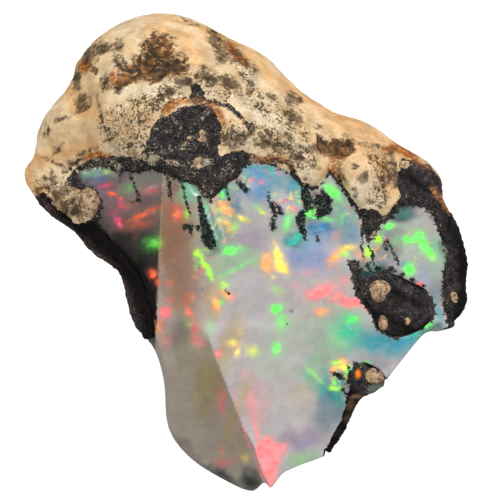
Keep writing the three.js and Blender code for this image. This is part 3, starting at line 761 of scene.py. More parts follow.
back = 1 - on_front
speckled = softly(deepest(drawn_uv, strokes=SPECKLE_STROKES), 1.2) * on_front
speckled = np.maximum(speckled, 0.5 * back)
SWELL = 0.13
relief = SWELL + 0.16 * broad_waves + 0.06 * small_waves + (0.01 + 0.03 * speckled) * sandy
relief += in_crust * (0.13 * crust_grains - 0.06 + 0.07 * sandy)
relief -= on_front * in_spot * 0.13
relief -= on_front * in_brown * (0.12 + 0.16 * small_waves)
relief -= (0.05 + 0.3 * speckled) * pitted * (1 - in_crust)
relief += on_front * (knob_height - 0.10 * moat)
print("relief runs from", round(float(relief.min()), 2), "to", round(float(relief.max()), 2), "mm")

# %% [markdown]
# Where the rock meets the opal its wall is pushed out past the gap between the two solids. The flat
# break on the underside stays flat, because the stone rests on it.

# %% Shape the rock
WALL_PUSH = 0.26
FOOT_CLEAR = 0.9
# Lobes of the rind that end steeply over the opal; elsewhere the crust thins out to nothing.
STEEP_LOBES = [(308, 172, 20, 14, -50), (370, 186, 30, 30, 0), (90, 204, 12, 22, 8)]
LIP_START = 0.03
LIP_SLOPE = 0.34
LOBE_SLOPE = 1.8
SUNK = 0.45
wall = smooth_step((0.75 - to_opal) / 0.35)
above_foot = smooth_step((rock_places[:, 2] - 0.05) / FOOT_CLEAR)
push = wall * (WALL_PUSH + 0.05 * sandy) * smooth_step((0.8 - facing) / 0.5)
relief *= 1 - 0.6 * smooth_step((0.3 - on_front) / 0.3) * wall
move = (relief + push) * above_foot
carved = to_face(rock_places + rock_normals * move[:, None])
lip_uv = carved[:, :2] + 0.1 * ragged
within = window_depth(lip_uv)
steepness = LIP_SLOPE + LOBE_SLOPE * smooth_step(deepest(lip_uv, patches=STEEP_LOBES) / 0.5 + 0.5)
lip = LIP_START + steepness * np.maximum(-within, 0) - SUNK * smooth_step(within / 0.12)
lip += 0.06 * crust_grains * smooth_step(-within / 0.3)
ceiling = face_w(carved[:, 0], carved[:, 1]) + lip
over = np.where(on_front > 0.4, np.maximum(carved[:, 2] - ceiling, 0), 0)
SQUEEZE = 0.94
island_or_spur = deepest(lip_uv, [CRUST_OUTLINES["island"], CRUST_OUTLINES["spur"]]) > -0.05
carved[:, 2] -= np.where(island_or_spur, 0, SQUEEZE) * over
carved = rounded(from_face(carved), edges_of(rock_net), 1, 0.4)
set_places(rock_net, carved)
print("rock box in mm:", places_of(rock_net).min(0).round(2), places_of(rock_net).max(0).round(2))

# %% [markdown]
# ## The back of the rock
# Away from the broken face the rind goes on all round the stone. Its patches there follow no map: slow
# noise spreads brown and dark areas over it, and the skin near the right and lower edges stays dark.

# %% Rock markings: store them
back_dark = unevenness(rock_places, 6.0, 8, 4)
back_brown = unevenness(rock_places, 3.6, 9, 4)
dark_side = smooth_step((rock_uvw[:, 0] - 12) / 5) + smooth_step((-3.5 - rock_uvw[:, 1]) / 4)
crust_all = np.maximum(crust_depth, back * (0.9 * back_dark - 0.75 + 1.3 * dark_side) - on_front)
store(rock_net, "crust", crust_all)
store(rock_net, "knob", np.where(on_front > 0.5, knob_depth, -1))
store(rock_net, "spot", np.where(on_front > 0.5, spot_depth, -1))
store(rock_net, "brown", np.where(on_front > 0.5, brown_depth, back_brown - 0.55))


rust = softly(deepest(drawn_uv, patches=RUST_PATCHES), 0.35)
rust = np.maximum(rust, 0.4 * softly(deepest(drawn_uv, strokes=RUST_STROKES), 0.5)) * on_front
rust = np.maximum(rust, back * smooth_step((back_brown - 0.2) / 0.5) * 0.7)
gold = softly(deepest(drawn_uv, patches=GOLD_PATCHES), 0.35) * on_front
orange = softly(deepest(drawn_uv, strokes=ORANGE_STROKES), 1.4)
orange = np.maximum(orange * on_front, back * smooth_step(unevenness(rock_places, 5, 10) + 0.3))
cream = softly(deepest(drawn_uv, patches=CREAM_PATCHES), 1.0) * on_front
gold = np.maximum(gold, softly(deepest(drawn_uv, strokes=GOLD_STROKES), 0.3) * on_front)
smudge = np.zeros(len(rock_uv))
for patch in SMUDGES_AND_SHADE:
    inside = patch_depth(drawn_uv, patch) / (min(patch[2], patch[3]) * MAP_SQUARE)
    smudge = np.maximum(smudge, smooth_step((inside + 0.5) / 1.3))
smudge = np.maximum(smudge * on_front, 0.5 * back)
pale_crust = 0.17 * smooth_step((9 - rock_uv[:, 0]) / 4)
for across, down, long, broad, turn, amount in PALE_CRUST:
    inside = patch_depth(drawn_uv, (across, down, long, broad, turn)) / (min(long, broad) * MAP_SQUARE)
    pale_crust = np.maximum(pale_crust, amount * smooth_step((inside + 0.4) / 1.2))
# Painted shade: the crust along these strokes is darkened towards black.
painted_shade = softly(deepest(drawn_uv, strokes=PAINTED_SHADE_STROKES), 0.8) * on_front
looks = {
    "rust": rust, "gold": gold, "orange": orange, "cream": cream, "speckled": speckled,
    "smudge": smudge, "pale_crust": pale_crust, "painted_shade": painted_shade,
}
for name, values in looks.items():
    store(rock_net, name, values)
print("stored", len(rock_net.attributes), "attributes on the rock")

# %% [markdown]
# ## Laying the opal on its face
# The opal's net is rounded only a little, and then its front is laid back on the formula of the broken
# face. Points close to the crest or the ridge are pulled onto it, so that these stay crisp lines.
# Glassy breaks carry faint ripples like those in a shell, so a few tenths of a millimetre are added.

# %% Opal skin
OPAL_ROUNDING = 10
opal_net = opal.data
opal_places = rounded(places_of(opal_net), edges_of(opal_net), OPAL_ROUNDING)
set_places(opal_net, opal_places)
opal_normals = normals_of(opal_net)
uvw = to_face(opal_places)
front = (opal_normals @ FACE_WAYS[2]) > 0.3


def ripples(u, v):
    """Shell-like ripples that spread from the tip and die out towards the top."""
    from_tip = np.hypot(u - 1.8, v + 19)
    rings = 0.035 * np.sin(from_tip * 2.1 + 0.6 * np.sin(u)) * smooth_step((from_tip - 2) / 4)
    return rings * smooth_step((7 - v) / 6)


def broken_w(u, v):
    """The face with its crest worn blunt in its upper part and left sharp along the blade."""
    bluntness = 1.8 * smooth_step((v + 9) / 8)
    run = np.abs(u - crest_u(v))
    return face_w(u, v) - 0.28 * (np.sqrt(run ** 2 + bluntness ** 2) - run)


CREST_REACH = 0.09
crest_gap = uvw[:, 0] - crest_u(uvw[:, 1])
ridge_gap = uvw[:, 0] - ridge_u(uvw[:, 1])
on_crest = front & (np.abs(crest_gap) < CREST_REACH)
uvw[on_crest, 0] = crest_u(uvw[on_crest, 1]) + 0.001
on_ridge = front & (np.abs(ridge_gap) < CREST_REACH)
uvw[on_ridge, 0] = ridge_u(uvw[on_ridge, 1])

target = broken_w(uvw[:, 0], uvw[:, 1])
steep = smooth_step((-5 - uvw[:, 1]) / 3) * smooth_step((1.6 + crest_gap) / 0.6) * (crest_gap < -0.02)
lay = front & (np.abs(uvw[:, 2] - target) < 0.75)
share = np.where(lay, 1 - steep, 0)
dents = 0.07 * unevenness(opal_places, 3.2, 11, 2) + 0.016 * unevenness(opal_places, 0.8, 12, 2)
top_roughness = 0.03 * unevenness(opal_places, 0.5, 13, 2) * smooth_step((uvw[:, 1] - 0.5) / 4)
broken = dents + top_roughness + ripples(uvw[:, 0], uvw[:, 1])
uvw[:, 2] += share * (target - uvw[:, 2])
uvw[:, 2] += np.where(front, broken, 0) * (1 - 0.8 * steep)
# Beside the blade nothing may stand above the flank, or the blade would not end in a clean edge.
beside = (uvw[:, 1] < -6) & (crest_gap < -0.02) & (crest_gap > -3.4) & (opal_normals @ FACE_WAYS[2] > -0.3)
uvw[beside, 2] = np.minimum(uvw[beside, 2], flank_w(uvw[beside, 0], uvw[beside, 1]))
opal_places = from_face(uvw)
to_rock = away_from(rock_tree, opal_places)
print("opal points laid on the face:", int(lay.sum()), "of", len(lay))

# %% Shape the opal
UNDER_PUSH = 0.12
under = smooth_step((0.6 - to_rock) / 0.3) * (~front)
opal_places = opal_places + opal_normals * (under * UNDER_PUSH)[:, None]
set_places(opal_net, opal_places)
print("opal box in mm:", opal_places.min(0).round(2), opal_places.max(0).round(2))

# %% [markdown]
# ## The body colour of the opal
# Opal is milky glass. Where it is thick and pale it looks grey with a breath of lavender, green or
# blue, and where it is clear the dark rock behind shows through. The colour is laid on as large soft
# washes of named tints, each kept to the facet it belongs to, so that the ridges stay sharp. The
# blackest washes, at the lower left of the shaded facet, are painted shade over that dark rock.

# %% Tints and washes


def tint(red, green, blue):
    """A colour given as 0 to 255 steps, as the light amounts that Blender works with."""
    steps = np.array([red, green, blue]) / 255
    return np.where(steps <= 0.04045, steps / 12.92, ((steps + 0.055) / 1.055) ** 2.4)


# Of these tints, the near-black one is used only as painted shade on the shaded facet.
MILK = {
    "pearl grey": tint(167, 161, 161), "warm grey": tint(172, 157, 151), "silver green": tint(150, 166, 140),
    "sage": tint(124, 158, 128), "lavender": tint(138, 148, 188), "sky": tint(84, 144, 184),
    "lagoon": tint(66, 144, 148), "deep lagoon": tint(38, 78, 82), "mauve": tint(140, 126, 142),
    "straw": tint(166, 144, 104), "olive": tint(154, 138, 102), "cocoa": tint(132, 97, 76),
    "mushroom": tint(160, 149, 137), "moss": tint(136, 136, 108), "slate": tint(88, 78, 84),
    "smoke": tint(44, 38, 36), "soot": tint(6, 5, 4), "rose": tint(196, 140, 138),
    "mint": tint(112, 184, 136), "plum": tint(96, 80, 94), "bone": tint(190, 178, 150),
    "dark teal": tint(24, 42, 38), "dusk": tint(116, 98, 102), "steel": tint(112, 122, 130),
    "umber": tint(86, 68, 52), "fire": tint(255, 138, 20), "film": tint(104, 114, 106),
}
# Each wash: tint, across, down, half length, half breadth, turn, strength.
BROAD_WASHES = [
    ("sage", 215, 225, 26, 44, 0, 0.8), ("mint", 205, 205, 14, 20, 0, 0.25),
    ("sky", 260, 184, 22, 22, 20, 0.75), ("lagoon", 288, 178, 22, 15, -35, 0.6), ("lagoon", 258, 166, 26, 6, 0, 0.8),
    ("silver green", 262, 206, 13, 9, 0, 0.6), ("lagoon", 240, 180, 12, 10, 0, 0.5),
    ("mauve", 245, 238, 28, 16, 0, 0.7), ("silver green", 222, 268, 26, 18, 0, 0.7),
    ("sage", 245, 258, 24, 14, 0, 0.6), ("pearl grey", 250, 298, 40, 24, 0, 0.7),
    ("lavender", 306, 256, 34, 16, -5, 0.75), ("sky", 316, 240, 16, 12, 0, 0.5),
    ("lagoon", 298, 240, 12, 8, 0, 0.6), ("sage", 288, 225, 14, 14, 0, 0.6),
    ("lagoon", 345, 226, 18, 30, 25, 0.5), ("sage", 335, 210, 16, 20, 30, 0.6),
    ("silver green", 290, 330, 30, 26, 0, 0.45), ("sage", 330, 335, 26, 34, 0, 0.5),
    ("mint", 348, 322, 18, 18, 0, 0.9), ("lagoon", 372, 342, 32, 17, 0, 1.0),
    ("lagoon", 404, 343, 22, 13, 30, 0.9), ("sky", 404, 341, 14, 7, 30, 0.6),
    ("steel", 375, 364, 24, 10, 0, 0.45), ("sage", 318, 372, 20, 24, -20, 0.7),
    ("lagoon", 332, 394, 17, 24, 10, 0.95), ("deep lagoon", 338, 398, 10, 20, 10, 0.6),
    ("steel", 324, 416, 16, 20, 0, 0.95), ("steel", 328, 408, 10, 14, 0, 0.5),
    ("mauve", 300, 440, 26, 12, 0, 0.9), ("sage", 304, 458, 24, 8, 15, 0.7),
    ("straw", 300, 392, 20, 12, 0, 0.35), ("rose", 255, 404, 18, 28, -10, 0.4),
    ("straw", 226, 350, 12, 44, -20, 0.7), ("straw", 240, 400, 8, 30, -18, 0.6),
    ("silver green", 270, 360, 26, 20, 0, 0.5), ("straw", 214, 300, 14, 24, -10, 0.8),
    ("silver green", 400, 235, 30, 24, 0, 0.8), ("steel", 396, 240, 16, 14, 0, 0.5), ("bone", 312, 190, 8, 10, 0, 0.5),
    ("plum", 384, 250, 14, 18, -20, 0.55), ("deep lagoon", 402, 214, 20, 9, 0, 0.9),
    ("deep lagoon", 383, 268, 20, 7, -5, 0.8), ("sage", 436, 262, 12, 26, 10, 0.7),
    ("lavender", 425, 275, 12, 12, 0, 0.5), ("steel", 436, 298, 12, 18, 0, 0.7),
    ("lagoon", 436, 314, 10, 16, 0, 0.7), ("deep lagoon", 428, 330, 16, 6, 20, 0.8),
    ("mint", 440, 250, 7, 18, 10, 0.6), ("deep lagoon", 211, 234, 12, 26, -8, 0.95), ("dark teal", 213, 238, 7, 14, -8, 0.85), ("dark teal", 208, 220, 4, 16, -10, 0.8),
    ("deep lagoon", 313, 212, 18, 16, 0, 0.7), ("steel", 345, 228, 12, 14, 20, 0.5), ("slate", 314, 196, 6, 9, 0, 0.85),
    ("dark teal", 446, 250, 5, 20, 0, 0.55), ("dark teal", 445, 290, 4, 22, 0, 0.5),
    ("dark teal", 408, 207, 22, 5, 0, 0.6), ("dark teal", 434, 216, 10, 5, -45, 0.5),
    ("dark teal", 349, 383, 8, 11, 0, 0.8), ("smoke", 341, 376, 6, 4, 0, 0.6),
    ("dark teal", 362, 262, 8, 8, 0, 0.5), ("lavender", 302, 444, 16, 5, 20, 0.2),
    ("deep lagoon", 320, 230, 14, 7, 0, 0.6), ("deep lagoon", 292, 240, 10, 6, 0, 0.6),
    ("dark teal", 374, 268, 17, 6, -3, 0.4), ("dark teal", 400, 276, 12, 5, -20, 0.5),
    ("pearl grey", 436, 264, 8, 14, 0, 0.4), ("deep lagoon", 232, 204, 7, 14, 10, 0.5),
]
# The bone wash beside the blade is painted light: it lifts the strip of the flank that the cliff below the blade
# shades.
FLANK_WASHES = [
    ("dark teal", 204, 214, 4, 18, -10, 0.7), ("bone", 234, 422, 7, 26, -20, 0.7),
    ("smoke", 172, 182, 8, 12, 0, 0.5), ("cocoa", 175, 235, 26, 60, 0, 1.0), ("cocoa", 167, 230, 10, 60, 5, 0.7),
    ("mint", 190, 190, 12, 16, -20, 0.75), ("olive", 196, 232, 8, 24, 0, 0.4), ("cocoa", 195, 262, 7, 14, 0, 0.5),
    ("cocoa", 190, 285, 24, 34, 0, 0.95), ("cocoa", 176, 308, 12, 12, 0, 0.6), ("moss", 184, 326, 12, 24, 0, 0.8),
    ("slate", 176, 335, 16, 20, 0, 0.45), ("mushroom", 162, 350, 12, 30, 0, 0.7),
    ("moss", 186, 365, 12, 30, 0, 0.6), ("olive", 208, 384, 18, 44, -8, 0.95),
    ("mushroom", 175, 400, 22, 40, 0, 0.8), ("mushroom", 205, 440, 26, 26, 0, 0.7),
    ("straw", 230, 425, 9, 30, -18, 0.7), ("straw", 240, 448, 9, 22, -15, 0.4),
    ("dark teal", 256, 480, 14, 13, -35, 0.98), ("slate", 180, 446, 26, 8, -40, 0.45),
    ("dark teal", 222, 477, 30, 8, -28, 0.92), ("straw", 214, 325, 8, 24, -12, 0.5),
]
# On the shaded facet the dark rock shows through; the smoke and near-black washes at its lower left are painted shade
# on top of it.
SHADED_WASHES = [
    ("dusk", 118, 196, 60, 36, 0, 1.0), ("silver green", 150, 184, 20, 16, 0, 0.3), ("moss", 128, 192, 12, 12, 0, 0.35),
    ("silver green", 96, 171, 26, 6, -2, 0.8), ("lagoon", 90, 173, 12, 5, 0, 0.35), ("lavender", 98, 180, 12, 6, 0, 0.3), ("plum", 106, 185, 12, 7, 0, 0.8),
    ("cocoa", 148, 212, 22, 16, 0, 0.5), ("cocoa", 130, 228, 20, 10, 0, 0.4),
    ("smoke", 118, 254, 60, 14, 10, 0.65), ("soot", 112, 268, 60, 28, -20, 1.0),
    ("soot", 150, 304, 22, 52, 10, 1.0), ("smoke", 104, 240, 14, 12, 0, 0.4),
    ("moss", 158, 222, 6, 20, 0, 0.2), ("slate", 150, 206, 10, 26, 0, 0.6), ("smoke", 154, 262, 8, 16, 0, 0.6),
    ("soot", 98, 234, 14, 8, -40, 0.9), ("soot", 122, 252, 16, 9, -45, 1.0),
    ("soot", 138, 276, 10, 18, 25, 1.0), ("soot", 146, 304, 9, 24, 0, 1.0),
]


def washed(base, washes, uv):
    colour = np.tile(base, (len(uv), 1))
    for name, across, down, long, broad, turn, strength in washes:
        patch = (across, down, long, broad, turn)
        inside = patch_depth(uv, patch) / (min(long, broad) * MAP_SQUARE)
        amount = strength * smooth_step((inside + 0.35) / 1.1)[:, None]
        colour += amount * (MILK[name] - colour)
    return colour


# %% Wash the opal
opal_uv = uvw[:, :2]
flat_places = from_face(np.column_stack([opal_uv, np.zeros(len(opal_uv))]))
drift = np.stack([
    unevenness(flat_places, 1.6, 14, 3),
    unevenness(flat_places, 1.6, 15, 3),
], axis=1)
wash_uv = opal_uv + 0.55 * drift
broad_tints = washed(MILK["pearl grey"], BROAD_WASHES, wash_uv)
flank_tints = washed(MILK["mushroom"], FLANK_WASHES, wash_uv)
shaded_tints = washed(MILK["smoke"], SHADED_WASHES, wash_uv)
RIDGE_SOFT = 0.12
crest_soft = RIDGE_SOFT + 4.5 * smooth_step((opal_uv[:, 1] + 8) / 6)
blade = smooth_step((-7 - opal_uv[:, 1]) / 3)
past_crest = smooth_step((opal_uv[:, 0] - crest_u(opal_uv[:, 1]) + 0.05 * blade) / crest_soft + 0.5)[:, None]
past_ridge = smooth_step((opal_uv[:, 0] - ridge_u(opal_uv[:, 1])) / RIDGE_SOFT + 0.5)[:, None]
body = shaded_tints + past_ridge * (flank_tints - shaded_tints)
body = body + past_crest * (broad_tints - body)
# A thin painted highlight runs along the sharp ridge and the blade's crest, where a glass edge catches light.
EDGE_LINE = 0.1
EDGE_GLINT = 0.4
edge_highlight = smooth_step(1 - np.abs(ridge_gap) / EDGE_LINE) * smooth_step((opal_uv[:, 1] + 2.5) / 2)
edge_highlight = np.maximum(edge_highlight, 0.7 * blade * smooth_step(1 - np.abs(crest_gap) / EDGE_LINE))
body = body + EDGE_GLINT * edge_highlight[:, None] * (MILK["bone"] - body)
store_tint(opal_net, "body", body)
print("washes laid:", len(BROAD_WASHES) + len(FLANK_WASHES) + len(SHADED_WASHES))

# %% [markdown]
# ## Play of colour
# The flashes come from layers of tiny silica spheres that split the light. Each flash is one pure
# colour with a clear edge on some sides and a soft one on others. They are drawn as patches and
# strokes, gathered by colour, and the material turns each gathered strength into a glow.

# %% Flashes
FLASH_TINTS = {
    "magenta": (232, 66, 108), "ember": (236, 92, 44), "rose": (255, 112, 114),
    "orange": (255, 156, 84), "yellow": (255, 226, 84), "lime": (160, 240, 40), "green": (94, 254, 84),
    "teal": (40, 170, 132), "aqua": (28, 128, 152), "blue": (44, 112, 168), "silver": (208, 228, 222),
}
# Each patch: across, down, half length, half breadth, turn, strength.
FLASH_PATCHES = {
    "magenta": [
        (106, 186, 6.5, 2.4, 10, 0.65), (120, 205, 3.4, 5, 20, 0.55), (119, 222, 3.4, 7.5, 22, 0.8),
        (113, 213, 6, 4, 0, 0.25), (152, 190, 9, 5, 10, 0.25),
        (165, 312, 5, 5, 10, 0.6), (235, 178, 4, 2.6, 0, 0.9),
        (194, 328, 4, 4.5, 0, 0.5), (224, 465, 6, 3, 0, 0.4),
        (345, 300, 8, 3, 10, 0.5), (212, 196, 3, 3, 0, 0.5),
    ],
    "ember": [
        (114, 194, 5, 2.6, -20, 0.95), (121, 199, 2.6, 1.8, 0, 0.7), (144, 215, 19, 3.4, 25, 0.65), (140, 224, 12, 4, 10, 0.4),
        (150, 192, 8, 4, 10, 0.35), (153, 274, 4.5, 4.5, 0, 0.95), (158, 281, 3.5, 3.5, 0, 0.6),
        (178, 214, 6, 8, 10, 0.65), (170, 283, 3.5, 3, 0, 0.5), (190, 312, 7, 3.4, -45, 0.65),
        (222, 450, 4, 4, 0, 0.35), (358, 375, 4, 3, 0, 0.6), (262, 470, 3, 9, 10, 0.2), (222, 399, 5, 14, 4, 0.3),
        (126, 207, 8, 4, 20, 0.35), (135, 203, 5, 3, 20, 0.3), (186, 300, 4, 10, -20, 0.3),
        (196, 330, 5, 9, -20, 0.35), (418, 284, 4.5, 3.2, 0, 0.95), (224, 461, 10, 4, 0, 0.35), (160, 326, 4, 8, 0, 0.3),
    ],
    "rose": [
        (165, 312, 5.5, 5, 10, 0.9), (166, 340, 6, 8, 0, 0.3), (198, 341, 7, 6, 0, 0.45),
        (219, 353, 4, 3.4, -20, 0.85), (322, 291, 17, 7, 15, 0.85), (335, 296, 10, 7, 0, 0.5),
        (309, 297, 8, 4, 20, 0.5), (352, 303, 10, 4.6, 0, 1.0), (366, 308, 4, 3, -30, 0.7),
        (345, 281, 6, 5, 0, 0.4), (213, 195, 3.5, 4, 0, 0.8), (222, 402, 5, 14, 5, 0.2),
        (252, 402, 5, 12, 12, 0.35), (232, 296, 4, 4, 0, 0.5), (336, 236, 3, 6, 0, 0.3),
        (295, 286, 6, 3, 0, 0.3), (332, 381, 3, 6, 0, 0.4),
        (244, 372, 3, 4, 0, 0.3), (250, 181, 4, 3, 0, 0.7), (262, 183, 4, 3, 0, 0.6),
        (278, 212, 4, 3, 0, 0.5), (294, 208, 3, 3, 0, 0.5), (308, 272, 10, 4, 0, 0.2),
        (188, 312, 3, 5, 30, 0.5), (171, 300, 5, 4, 0, 0.3), (161, 322, 3, 6, 0, 0.3),
    ],
    "orange": [
        (217, 304, 3.4, 8, 15, 0.9), (226, 294, 6, 3, -40, 0.8), (270, 264, 10, 7, 0, 0.4),
        (334, 259, 5, 8, -35, 0.9), (343, 250, 10, 4, 15, 0.7), (360, 256, 7, 3, -40, 0.6),
        (320, 311, 7, 4.4, 0, 0.95), (158, 327, 4, 7, 0, 0.55), (225, 209, 9, 4.6, -42, 0.9),
        (341, 361, 6, 4, 10, 0.7), (333, 369, 3, 5, -30, 0.6), (192, 298, 4, 4, 0, 0.35),
        (227, 224, 6, 4.6, -20, 0.45), (243, 219.5, 4.4, 1.8, -35, 0.6),
        (262, 204, 2, 2.4, 0, 0.5), (286, 270, 2.4, 4, 15, 0.6), (357, 374, 3.4, 4, 0, 1.0), (360, 224, 2, 4, 0, 0.5),
        (272, 268, 12, 3, -10, 0.6), (216, 205, 3, 3, 0, 0.4), (224, 240, 2, 3, 0, 0.5),
        (240, 344, 4, 3, 0, 0.4), (291, 275, 3, 2, 0, 0.2), (196, 277, 4, 3, 0, 0.25),
        (443, 304, 2.4, 4, 0, 0.5), (446, 318, 2.4, 3, 0, 0.4), (275, 204, 4, 3, 20, 0.4),
    ],
    "yellow": [
        (272, 278, 3.6, 3.2, 0, 0.4),
        (233, 342, 5, 4, 0, 0.6), (238, 352, 3, 5, -20, 0.7), (251, 350, 6, 6, 0, 0.45),
        (246, 457, 4.5, 5, 0, 0.5), (240, 217.5, 4.4, 1.8, -35, 0.7), (262.5, 211.5, 5, 2.2, -30, 0.6),
        (343, 367, 5.5, 3.4, 0, 1.0), (229, 227, 5, 5, 0, 0.3), (348, 248, 8, 3, 0, 0.7),
        (247, 221.5, 3, 1.4, -35, 0.35), (240, 332, 4, 5, 0, 0.2), (225, 222, 6, 4, -30, 0.4),
    ],
    "lime": [
        (344, 254, 7, 4, 20, 0.6), (156, 243, 6, 4.5, 10, 0.45), (224, 285, 4.5, 4.5, 0, 0.75), (206, 265, 13, 2.6, -52, 0.6),
        (198, 254, 4, 3, -30, 0.9), (187, 215, 3, 5, 0, 0.5), (377, 240, 4, 3.4, -20, 1.0),
        (368, 252, 5, 4.4, -20, 1.0), (300, 458, 12, 4, 12, 0.18), (431, 256, 5, 3.6, -50, 0.7),
        (337, 362, 5, 3, 0, 0.7), (335, 388, 6, 2.6, 0, 0.9), (326, 222, 6, 2, 10, 0.6),
        (245, 220, 4, 2, 0, 0.4), (254, 352, 5, 4, 0, 0.4), (277, 290, 8, 4, -20, 0.3),
        (235.5, 226, 3.6, 5.4, -15, 0.45), (258, 208, 7, 3.2, -35, 0.35), (205, 250, 4, 3, 0, 0.3),
    ],
    "green": [
        (153, 243, 9, 6.4, 15, 0.42), (128, 187, 6, 5, 0, 0.22),
        (230, 251, 7.5, 4.6, 0, 1.0), (239, 249, 6, 3.4, 0, 0.5), (276, 309, 6, 5, 0, 0.9),
        (282, 321, 7, 8, 20, 0.5), (276, 348, 4.4, 7, 0, 0.7), (332, 191, 11, 5, -48, 1.0),
        (352, 320, 7, 5, 10, 0.9), (411, 239, 7, 4, 0, 1.0), (419, 236, 6, 5, 0, 1.0),
        (424, 246, 9, 5, -55, 1.0), (409, 268, 6.6, 6.6, 0, 1.0), (388, 226, 4.4, 4, 20, 0.95),
        (221.8, 194.6, 1.8, 3.8, 15, 0.95), (308, 213, 5, 2.6, 0, 1.0), (318, 218, 14, 1.4, -12, 0.9),
        (286.5, 223, 4.4, 8, -10, 0.6), (425, 326, 6, 3, 30, 0.85), (347, 370, 3, 4, 0, 0.8),
        (334, 382, 3, 4, 0, 0.6), (210, 326, 5, 8, 0, 0.25), (222, 302, 4, 4, 0, 0.35),
        (340, 340, 14, 10, 0, 0.22), (250, 262, 14, 6, 0, 0.12), (340, 222, 3, 6, 0, 0.3),
        (394, 240, 5, 4, 0, 0.3), (366, 362, 4, 2, 0, 0.6),
        (310, 370, 5, 3, -30, 0.3),
        (215, 270, 8, 5, 0, 0.15),
    ],
    "teal": [
        (348, 330, 12, 12, 0, 0.7), (205, 212, 3, 14, 14, 0.7), (217, 236, 5, 12, 10, 0.4),
        (224, 191, 6, 7, 20, 0.7), (294, 239, 10, 4.4, 35, 1.0), (404, 214, 8, 4, 0, 0.25),
        (98, 171, 20, 4, 0, 0.2), (230, 187, 8, 5, 0, 0.4), (372, 267, 7, 4, -5, 0.3),
        (302, 190, 7, 9, 0, 0.5), (337, 396, 6, 10, 10, 0.4),
        (414, 334, 10, 5, 30, 0.6), (192, 190, 6, 8, -30, 0.4), (310, 378, 14, 5, -35, 0.4),
        (225, 176, 6, 3, 0, 0.3), (345, 215, 8, 14, 20, 0.2),
    ],
    "aqua": [
        (404, 341, 13, 6, 30, 0.55), (385, 344, 16, 10, 0, 0.45),
        (254, 173, 13, 7, 20, 0.55), (270, 186, 12, 10, 0, 0.35), (292, 186, 6, 10, -30, 0.6), (320, 229, 13, 6, 0, 0.6), (291, 240, 8, 4.4, 25, 0.6),
    ],
    "blue": [
        (246, 192, 6, 7, 0, 0.4), (262, 172, 10, 7, 0, 0.25), (237, 203, 3.4, 8, 5, 0.45),
        (320, 228, 14, 7, 0, 0.6),
        (305, 258, 20, 10, 0, 0.25), (329, 232, 3, 8, 0, 0.6), (282, 213, 4, 6, -10, 0.5),
        (404, 264, 4, 5, 0, 0.5), (102, 178, 7, 4, 0, 0.3), (260, 198, 8, 10, 0, 0.3),
        (352, 232, 8, 10, 0, 0.3), (330, 400, 7, 8, 0, 0.15),
    ],
    # The silver patches are painted glints: small white highlights on the glassy face.
    "silver": [(97, 168, 4, 1.2, 0, 0.6), (85, 172, 3, 1.2, 0, 0.5), (152, 188, 5, 1.4, 20, 0.35), (196, 195, 3, 1.6, -30, 0.9)],
}

# Each streak: a strength, then a stroke.
FLASH_OUTLINES = {
    "rose": [(0.7, [
        (254, 444), (260, 438), (270, 434), (279, 442), (287, 443), (287, 450), (281, 457), (278, 465),
        (277, 474), (275, 483), (272, 490), (266, 482), (261, 473), (257, 460), (254, 451),
    ])],
    "yellow": [(0.86, [
        (273, 241), (278, 245), (283, 253), (287.5, 261), (290, 270), (287, 275), (280, 273), (275, 267),
        (273.5, 255),
    ])],
    "orange": [(0.8, [(260, 258), (264, 252), (271, 252), (273, 260), (273, 269), (270, 273), (264, 273), (259, 267)])],
}
FLASH_STREAKS = {
    "rose": [
        (1.0, [(266, 438, 1.6), (268, 450, 4.0), (269, 466, 4.4), (271, 480, 2.6)]),
        (0.7, [(255, 424, 1.4), (258, 434, 2.6), (262, 446, 4.0)]),
        (0.6, [(243, 428, 1.4), (246, 437, 1.8), (250, 446, 1.4)]),
        (0.35, [(249, 400, 1.4), (253, 414, 3.0), (256, 426, 2.4)]),
    ],
    "lime": [
        (0.85, [(197, 250, 1.8), (205, 263, 3.4), (212, 274, 2.6), (214, 279, 1.2)]),
        (0.4, [(306, 366, 1.0), (316, 376, 1.6), (324, 384, 1.0)]),
    ],
    "ember": [(0.2, [(232, 388, 1.2), (236, 400, 2.0), (238, 412, 1.2)])],
    "green": [
        (0.8, [(406, 241, 2.6), (418, 236, 4.0), (426, 246, 3.6), (432, 257, 3.0)]),
        (0.3, [(220, 277, 1.6), (232, 271, 2.4), (244, 265, 2.4), (253, 261, 1.4)]),
    ],
    "teal": [(0.45, [(201, 200, 1.0), (207, 214, 3.0), (214, 228, 3.0), (218, 240, 2.0)])],
    # The last silver streak is painted glints at the top of the flank; the two beside the big needle are whitish
    # streaks in the opal.
    "silver": [
        (0.5, [(205, 206, 0.8), (212, 222, 1.6), (218, 238, 1.0)]),
        (0.4, [(211, 205, 0.8), (220, 222, 1.6), (224, 238, 0.8)]),
        (0.4, [(186, 181, 1.0), (192, 190, 1.8), (197, 198, 0.8)]),
    ],
}
flash_uv = opal_uv + 0.13 * drift + 0.1 * np.stack([
    unevenness(flat_places, 0.5, 16, 3),
    unevenness(flat_places, 0.5, 17, 3),
], axis=1)
HALO_REACH = 1.3
HALO = 0.3
CORE_REACH = 0.45
CORE_EDGE = 1.35
OUTLINE_EDGE = 0.42


def flash_shape(inside):
    """1 in the core of a flash, falling off through its edge and its halo."""
    halo = HALO * smooth_step((inside + HALO_REACH) / (1 + HALO_REACH))
    return halo + (1 - HALO) * smooth_step((inside + CORE_REACH) / CORE_EDGE)


